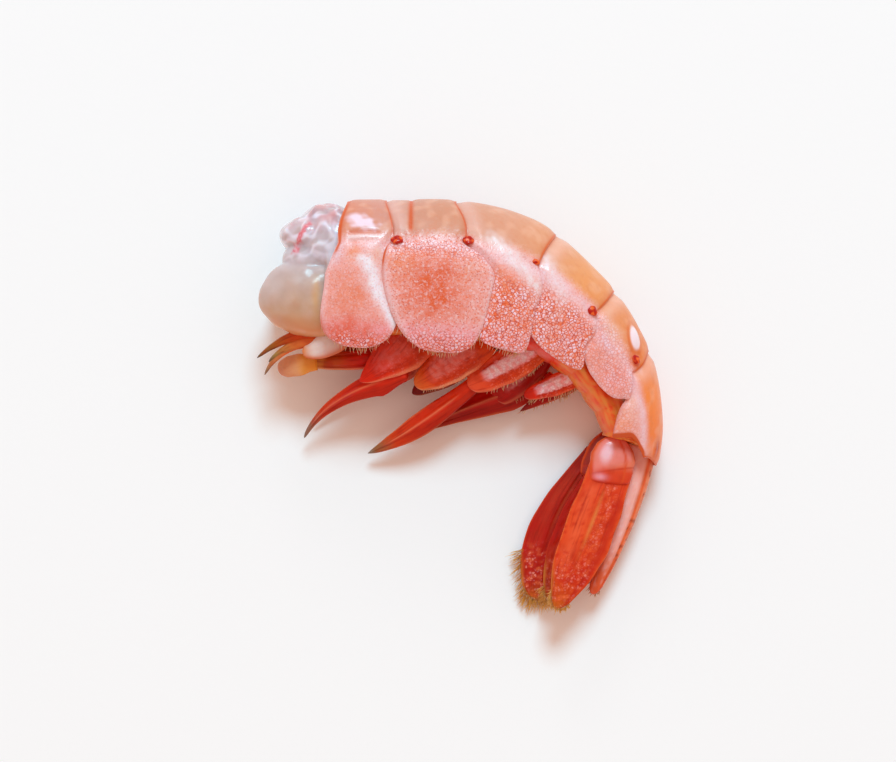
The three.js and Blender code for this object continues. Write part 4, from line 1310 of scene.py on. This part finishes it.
# The tail fan.
# A ridged telson in the middle, and on each side a hard stalk with an outer and an inner blade. The blades
# are folded together, orange and deep red, rough with pale beads near their ends.
FAN = {
    "telson": [
        {
            "path": ((31.9, -7, 5), (29.8, -21.2, 4.8), (23.7, -34.1, 4.4)), "width": 6.8, "thick": 4.4,
            "root": 1, "tip": 0.3, "widest": 0.1, "blunt": 1.1, "form": "spike", "square": 0.75,
            "tints": ((0, "#f09870"), (0.6, "#f08860"), (1, "#ec6028")),
        },
    ],
    "uropod_left": [
        {
            "path": ((28.2, -5.9, 7.8), (27, -9.4, 8.8), (26.5, -14.4, 8.8)), "width": 8, "thick": 3.4,
            "root": 0.8, "tip": 0.85, "widest": 0.4, "blunt": 2, "form": "bulb", "heel": 0.5,
            "pale": 1.0, "tints": ((0, "#e0622c"), (0.6, "#ea7a5c"), (0.75, "#de4420"), (1, "#d83a18")),
        },
        {
            "path": ((27.2, -10.6, 8.3), (23.1, -23, 9.8), (17.1, -36.4, 8.6)), "width": 8.8,
            "thick": 1.3, "root": 0.88, "tip": 0.2, "widest": 0.4, "blunt": 2.8, "form": "blade",
            "band": 1.0, "coarse": 0.6, "rib": 0.6, "rim": 0.7,
            "tints": ((0, "#de3c16"), (0.5, "#e64a1a"), (0.8, "#d8300a"), (1, "#cf5a10")),
        },
        {
            "path": ((26.2, -11.9, 7.8), (24, -22.5, 7.7), (18.8, -34, 7.1)), "width": 5.2,
            "thick": 1.2, "root": 0.7, "tip": 0.2, "widest": 0.5, "blunt": 3, "form": "blade",
            "band": 0.7, "coarse": 0.4, "rib": 0.1, "rim": 0.3,
            "tints": ((0, "#d42c10"), (0.5, "#d43010"), (1, "#c8440e")),
        },
    ],
    # The right fan leaves lie under the left ones: their darker reds, and the bulb's small share of pale,
    # are painted shade.
    "uropod_right": [
        {
            "path": ((29.1, -4.9, 3.4), (25.6, -8.5, 2.6), (23.8, -13.9, 2.6)), "width": 6.4,
            "thick": 3, "root": 0.6, "tip": 0.7, "widest": 0.5, "blunt": 2, "form": "bulb", "heel": 0.3,
            "pale": 0.1, "tints": ((0, "#8a1408"), (0.6, "#9c1a0c"), (1, "#a81c0a")),
        },
        {
            "path": ((24.9, -8.5, 2.2), (14.7, -21.1, 1.8), (13.9, -35.4, 1.6)), "width": 7.9,
            "thick": 1.2, "root": 0.5, "tip": 0.3, "widest": 0.6, "blunt": 3.4, "form": "blade",
            "band": 0.2, "coarse": 0.9, "rib": 0.1, "rim": 0.45,
            "tints": (
                (0, "#860a05"), (0.3, "#b81c0c"), (0.6, "#ba0402"), (0.85, "#c00803"), (1, "#b84c10"),
            ),
        },
        {
            "path": ((25.9, -10.6, 3.8), (19.8, -22.7, 3.8), (16.3, -35.6, 3.6)), "width": 6.6,
            "thick": 1.2, "root": 0.6, "tip": 0.2, "widest": 0.5, "blunt": 3.2, "form": "blade",
            "band": 0.2, "coarse": 0.3, "rib": 0.1, "rim": 0.1,
            "tints": ((0, "#b00c03"), (0.6, "#b80602"), (1, "#a83c0e")),
        },
    ],
}

for number, node in enumerate(FAN):
    leaves = [limb(leaf, 700 + 20 * number + 7 * place) for place, leaf in enumerate(FAN[node])]
    add_piece(f"tail_{node}", mesh_of(f"tail_{node}", *joined(leaves)), scarlet, "tail_fan", node)

# The bristles.
# Fine stiff hairs of chitin, cream at their tips and brown at their roots, stand in a row under the hem of
# each flap, under the stalks of the legs, and thickly round the ends of the fan's blades. Each is drawn as
# a tapered three-sided hair about as thick as a pixel, which is coarser than real.
HAIR_SHARES = np.array([0, 0, 0.35, 0.7, 1, 1])
HAIR_WIDTHS = np.array([0, 1, 0.85, 0.55, 0.2, 0])
LEAST_HEIGHT = 0.05


def hairs(roots, ways, lengths, thick, root_code, tip_code, seed):
    """Points, faces and paint of hairs: a three-cornered section carried along a line that leaves its root
    one way and droops by a third of its length, thinner and thinner to the tip."""
    count = len(roots)
    draw = np.random.default_rng(seed)
    ways = ways + draw.normal(0, 0.16, (count, 3))
    ways /= np.linalg.norm(ways, axis=1, keepdims=True)
    lengths = lengths * draw.uniform(0.75, 1.2, count)
    share = HAIR_SHARES[None, :, None]
    reach = lengths[:, None, None]
    bend = draw.normal(0, 0.12, (count, 1, 3)) + (0, 0, -0.15)
    line = roots[:, None] + ways[:, None] * reach * share + bend * reach * share**2
    side = np.cross(ways, (0.13, 0.21, 1))
    side /= np.linalg.norm(side, axis=1, keepdims=True)
    up = np.cross(side, ways)
    turn = np.radians((90, 210, 330))
    corners = side[:, None] * np.cos(turn)[:, None] + up[:, None] * np.sin(turn)[:, None]
    width = thick / 2 * HAIR_WIDTHS[None, :, None, None]
    points = line[:, :, None] + corners[:, None] * width
    points[..., 2] = np.maximum(points[..., 2], LEAST_HEIGHT + 0.4 * width[..., 0] * (1 + np.sin(turn)))
    rows = len(HAIR_SHARES)
    faces = grid_faces(rows, 3, wrap_columns=True)
    faces = (faces[None] + (np.arange(count) * rows * 3)[:, None, None]).reshape(-1, 4)
    fade = np.clip(HAIR_SHARES[None, :] + draw.normal(0, 0.15, (count, 1)), 0, 1)
    tint = mix(np.array(linear(root_code)), np.array(linear(tip_code)), fade[..., None])
    tint = np.repeat(tint[:, :, None], 3, axis=2).reshape(-1, 4)
    return points.reshape(-1, 3), faces, {"tint": tint}


def bristle_chitin(name):
    """Clear, wet horn: its colour is its own, it shines, and light passes into it a little."""
    material, tree = new_material(name)
    colour = add_node(tree, "Attribute", attribute_name="tint").outputs["Color"]
    shader = add_node(tree, "BsdfPrincipled", {
        "Base Color": colour, "Roughness": 0.35, "IOR": 1.5, "Subsurface Weight": 0.2,
        "Subsurface Radius": (1.0, 0.6, 0.3), "Subsurface Scale": 0.0003,
        "Coat Weight": 0.3, "Coat Roughness": 0.15,
    })
    add_node(tree, "OutputMaterial", {"Surface": shader})
    return material


def hem_hairs(index, side, seed):
    """Hairs under a ring's hem. They stand on its lowest edge, where both margins round off, and point away
    from the back."""
    ring = RINGS[index]
    count = HEM_COUNTS[index]
    reach = np.linspace(-1, 1, count)
    angle = side * (ring["hem"] - (ring["hem"] - ring["round"]) * 0.55 * np.abs(reach) ** 2.2 - 0.3)
    end = (reach > 0).astype(int)
    edge = np.where(end == 1, margin(ring, 1, angle), margin(ring, 0, angle))
    at = mix(ring["tip"], edge, np.abs(reach) ** 0.5)
    level = level_of(index, at, angle) - 0.3
    roots = skin(at, angle, level, "flap")
    ways = skin(at, angle + side * 4, level, "flap") - skin(at, angle - side * 4, level, "flap")
    ways /= np.linalg.norm(ways, axis=1, keepdims=True)
    return hairs(roots, ways, 1.25, 0.19, "#dc8246", "#fce8c0", seed)


def limb_hairs(leaf, side, start, stop, count, length, codes, seed, drop=0.0, clumps=0, lean=0.5):
    """Hairs along one edge of a limb from start to stop, pointing outwards and, by "lean", on towards its
    tip. With "clumps" they lean together, that many clumps to the limb."""
    draw = np.random.default_rng(seed)
    share = np.sort(draw.uniform(start, stop, count))
    middle, along, out, up = limb_frame(leaf["path"], share)
    end = rounded_off(share)
    reach = limb_width(leaf, share) * end * 0.93
    roots = middle + out * (side * reach)[:, None] + up * draw.normal(0, 0.1, (count, 1))
    onward = mix(lean, lean + 0.8, ease((share - 0.7) / 0.3))[:, None]
    if clumps:
        onward = onward - ((share * clumps - np.round(share * clumps)) * CLUMPED)[:, None]
    ways = out * side * np.clip(end, 0.25, 1)[:, None] + along * onward + (0, 0, -drop)
    return hairs(roots, ways, length, 0.17, *codes, seed + 1)


def end_hairs(leaf, count, length, codes, seed):
    """Hairs round the end of a blade: they fan out from across its tip, in clumps that the water draws
    together."""
    draw = np.random.default_rng(seed)
    across = draw.uniform(-1, 1, count)
    share = 1 - (1 - ROUNDED) * (1 - np.sqrt(np.clip(1 - across**2, 0, 1))) - 0.004
    middle, along, out, up = limb_frame(leaf["path"], share)
    width = limb_width(leaf, np.full(count, ROUNDED)) * 0.93
    roots = middle + out * (across * width)[:, None] - along * 0.25 + up * draw.normal(0, 0.12, (count, 1))
    clump = np.round(across * 5 + 0.2 * np.sin(across * 9)) / 5
    ways = along + out * (0.5 * clump - (across - clump) * width / length)[:, None] + (0, 0, -0.05)
    return hairs(roots, ways, length * (0.85 + 0.25 * np.cos(clump * 17)), 0.19, *codes, seed + 1)


HEM_COUNTS = (34, 54, 30, 0, 0, 0)
FAN_HAIRS = ((0.9, 0.9), (0.8, 0.9), (2.4, 0.7), (1.7, 0.9))
CLUMPED = 0.9
CREAM = ("#c8743c", "#f8dcae")
STRAW = ("#c46418", "#ffc05c")
horn = bristle_chitin("bristle_chitin")
rows = []
for index in range(3):
    rows += [hem_hairs(index, 1, 500 + index), hem_hairs(index, -1, 510 + index)]
add_piece("hem_bristles", mesh_of("hem_bristles", *joined(rows)), horn, "shell")

rows = [
    limb_hairs(LEGS["leg_left_4"][0], 1, 0.15, 0.9, 40, 0.9, CREAM, 520, 0.3),
    limb_hairs(LEGS["leg_left_5"][0], 1, 0.15, 0.95, 44, 1.0, CREAM, 530, 0.3),
    limb_hairs(LEGS["leg_left_5"][0], -1, 0.02, 0.5, 18, 1.1, ("#a02c10", "#e0a070"), 540, -0.3),
    limb_hairs(LEGS["leg_left_3"][0], 1, 0.3, 0.95, 20, 0.5, CREAM, 550, 0.3),
    limb_hairs(LEGS["leg_right_5"][0], 1, 0.3, 1.0, 24, 0.8, CREAM, 560, 0.1),
    limb_hairs(LEGS["leg_right_4"][0], 1, 0.15, 0.8, 26, 0.8, CREAM, 570, 0.1),
]
add_piece("leg_bristles", mesh_of("leg_bristles", *joined(rows)), horn, "legs")

rows = []
for number, leaf in enumerate(FAN["uropod_left"][1:] + FAN["uropod_right"][1:]):
    seed = 600 + 10 * number
    length, start = FAN_HAIRS[number]
    rows += [
        end_hairs(leaf, 150, length, STRAW, seed),
        limb_hairs(
            leaf, -1, start, 0.97, int(270 * (0.97 - start)), length, STRAW, seed + 3, clumps=30, lean=1.1
        ),
    ]
rows.append(end_hairs(FAN["telson"][0], 30, 0.9, ("#b4501c", "#d08a3c"), 660))
add_piece("fan_bristles", mesh_of("fan_bristles", *joined(rows)), horn, "tail_fan")
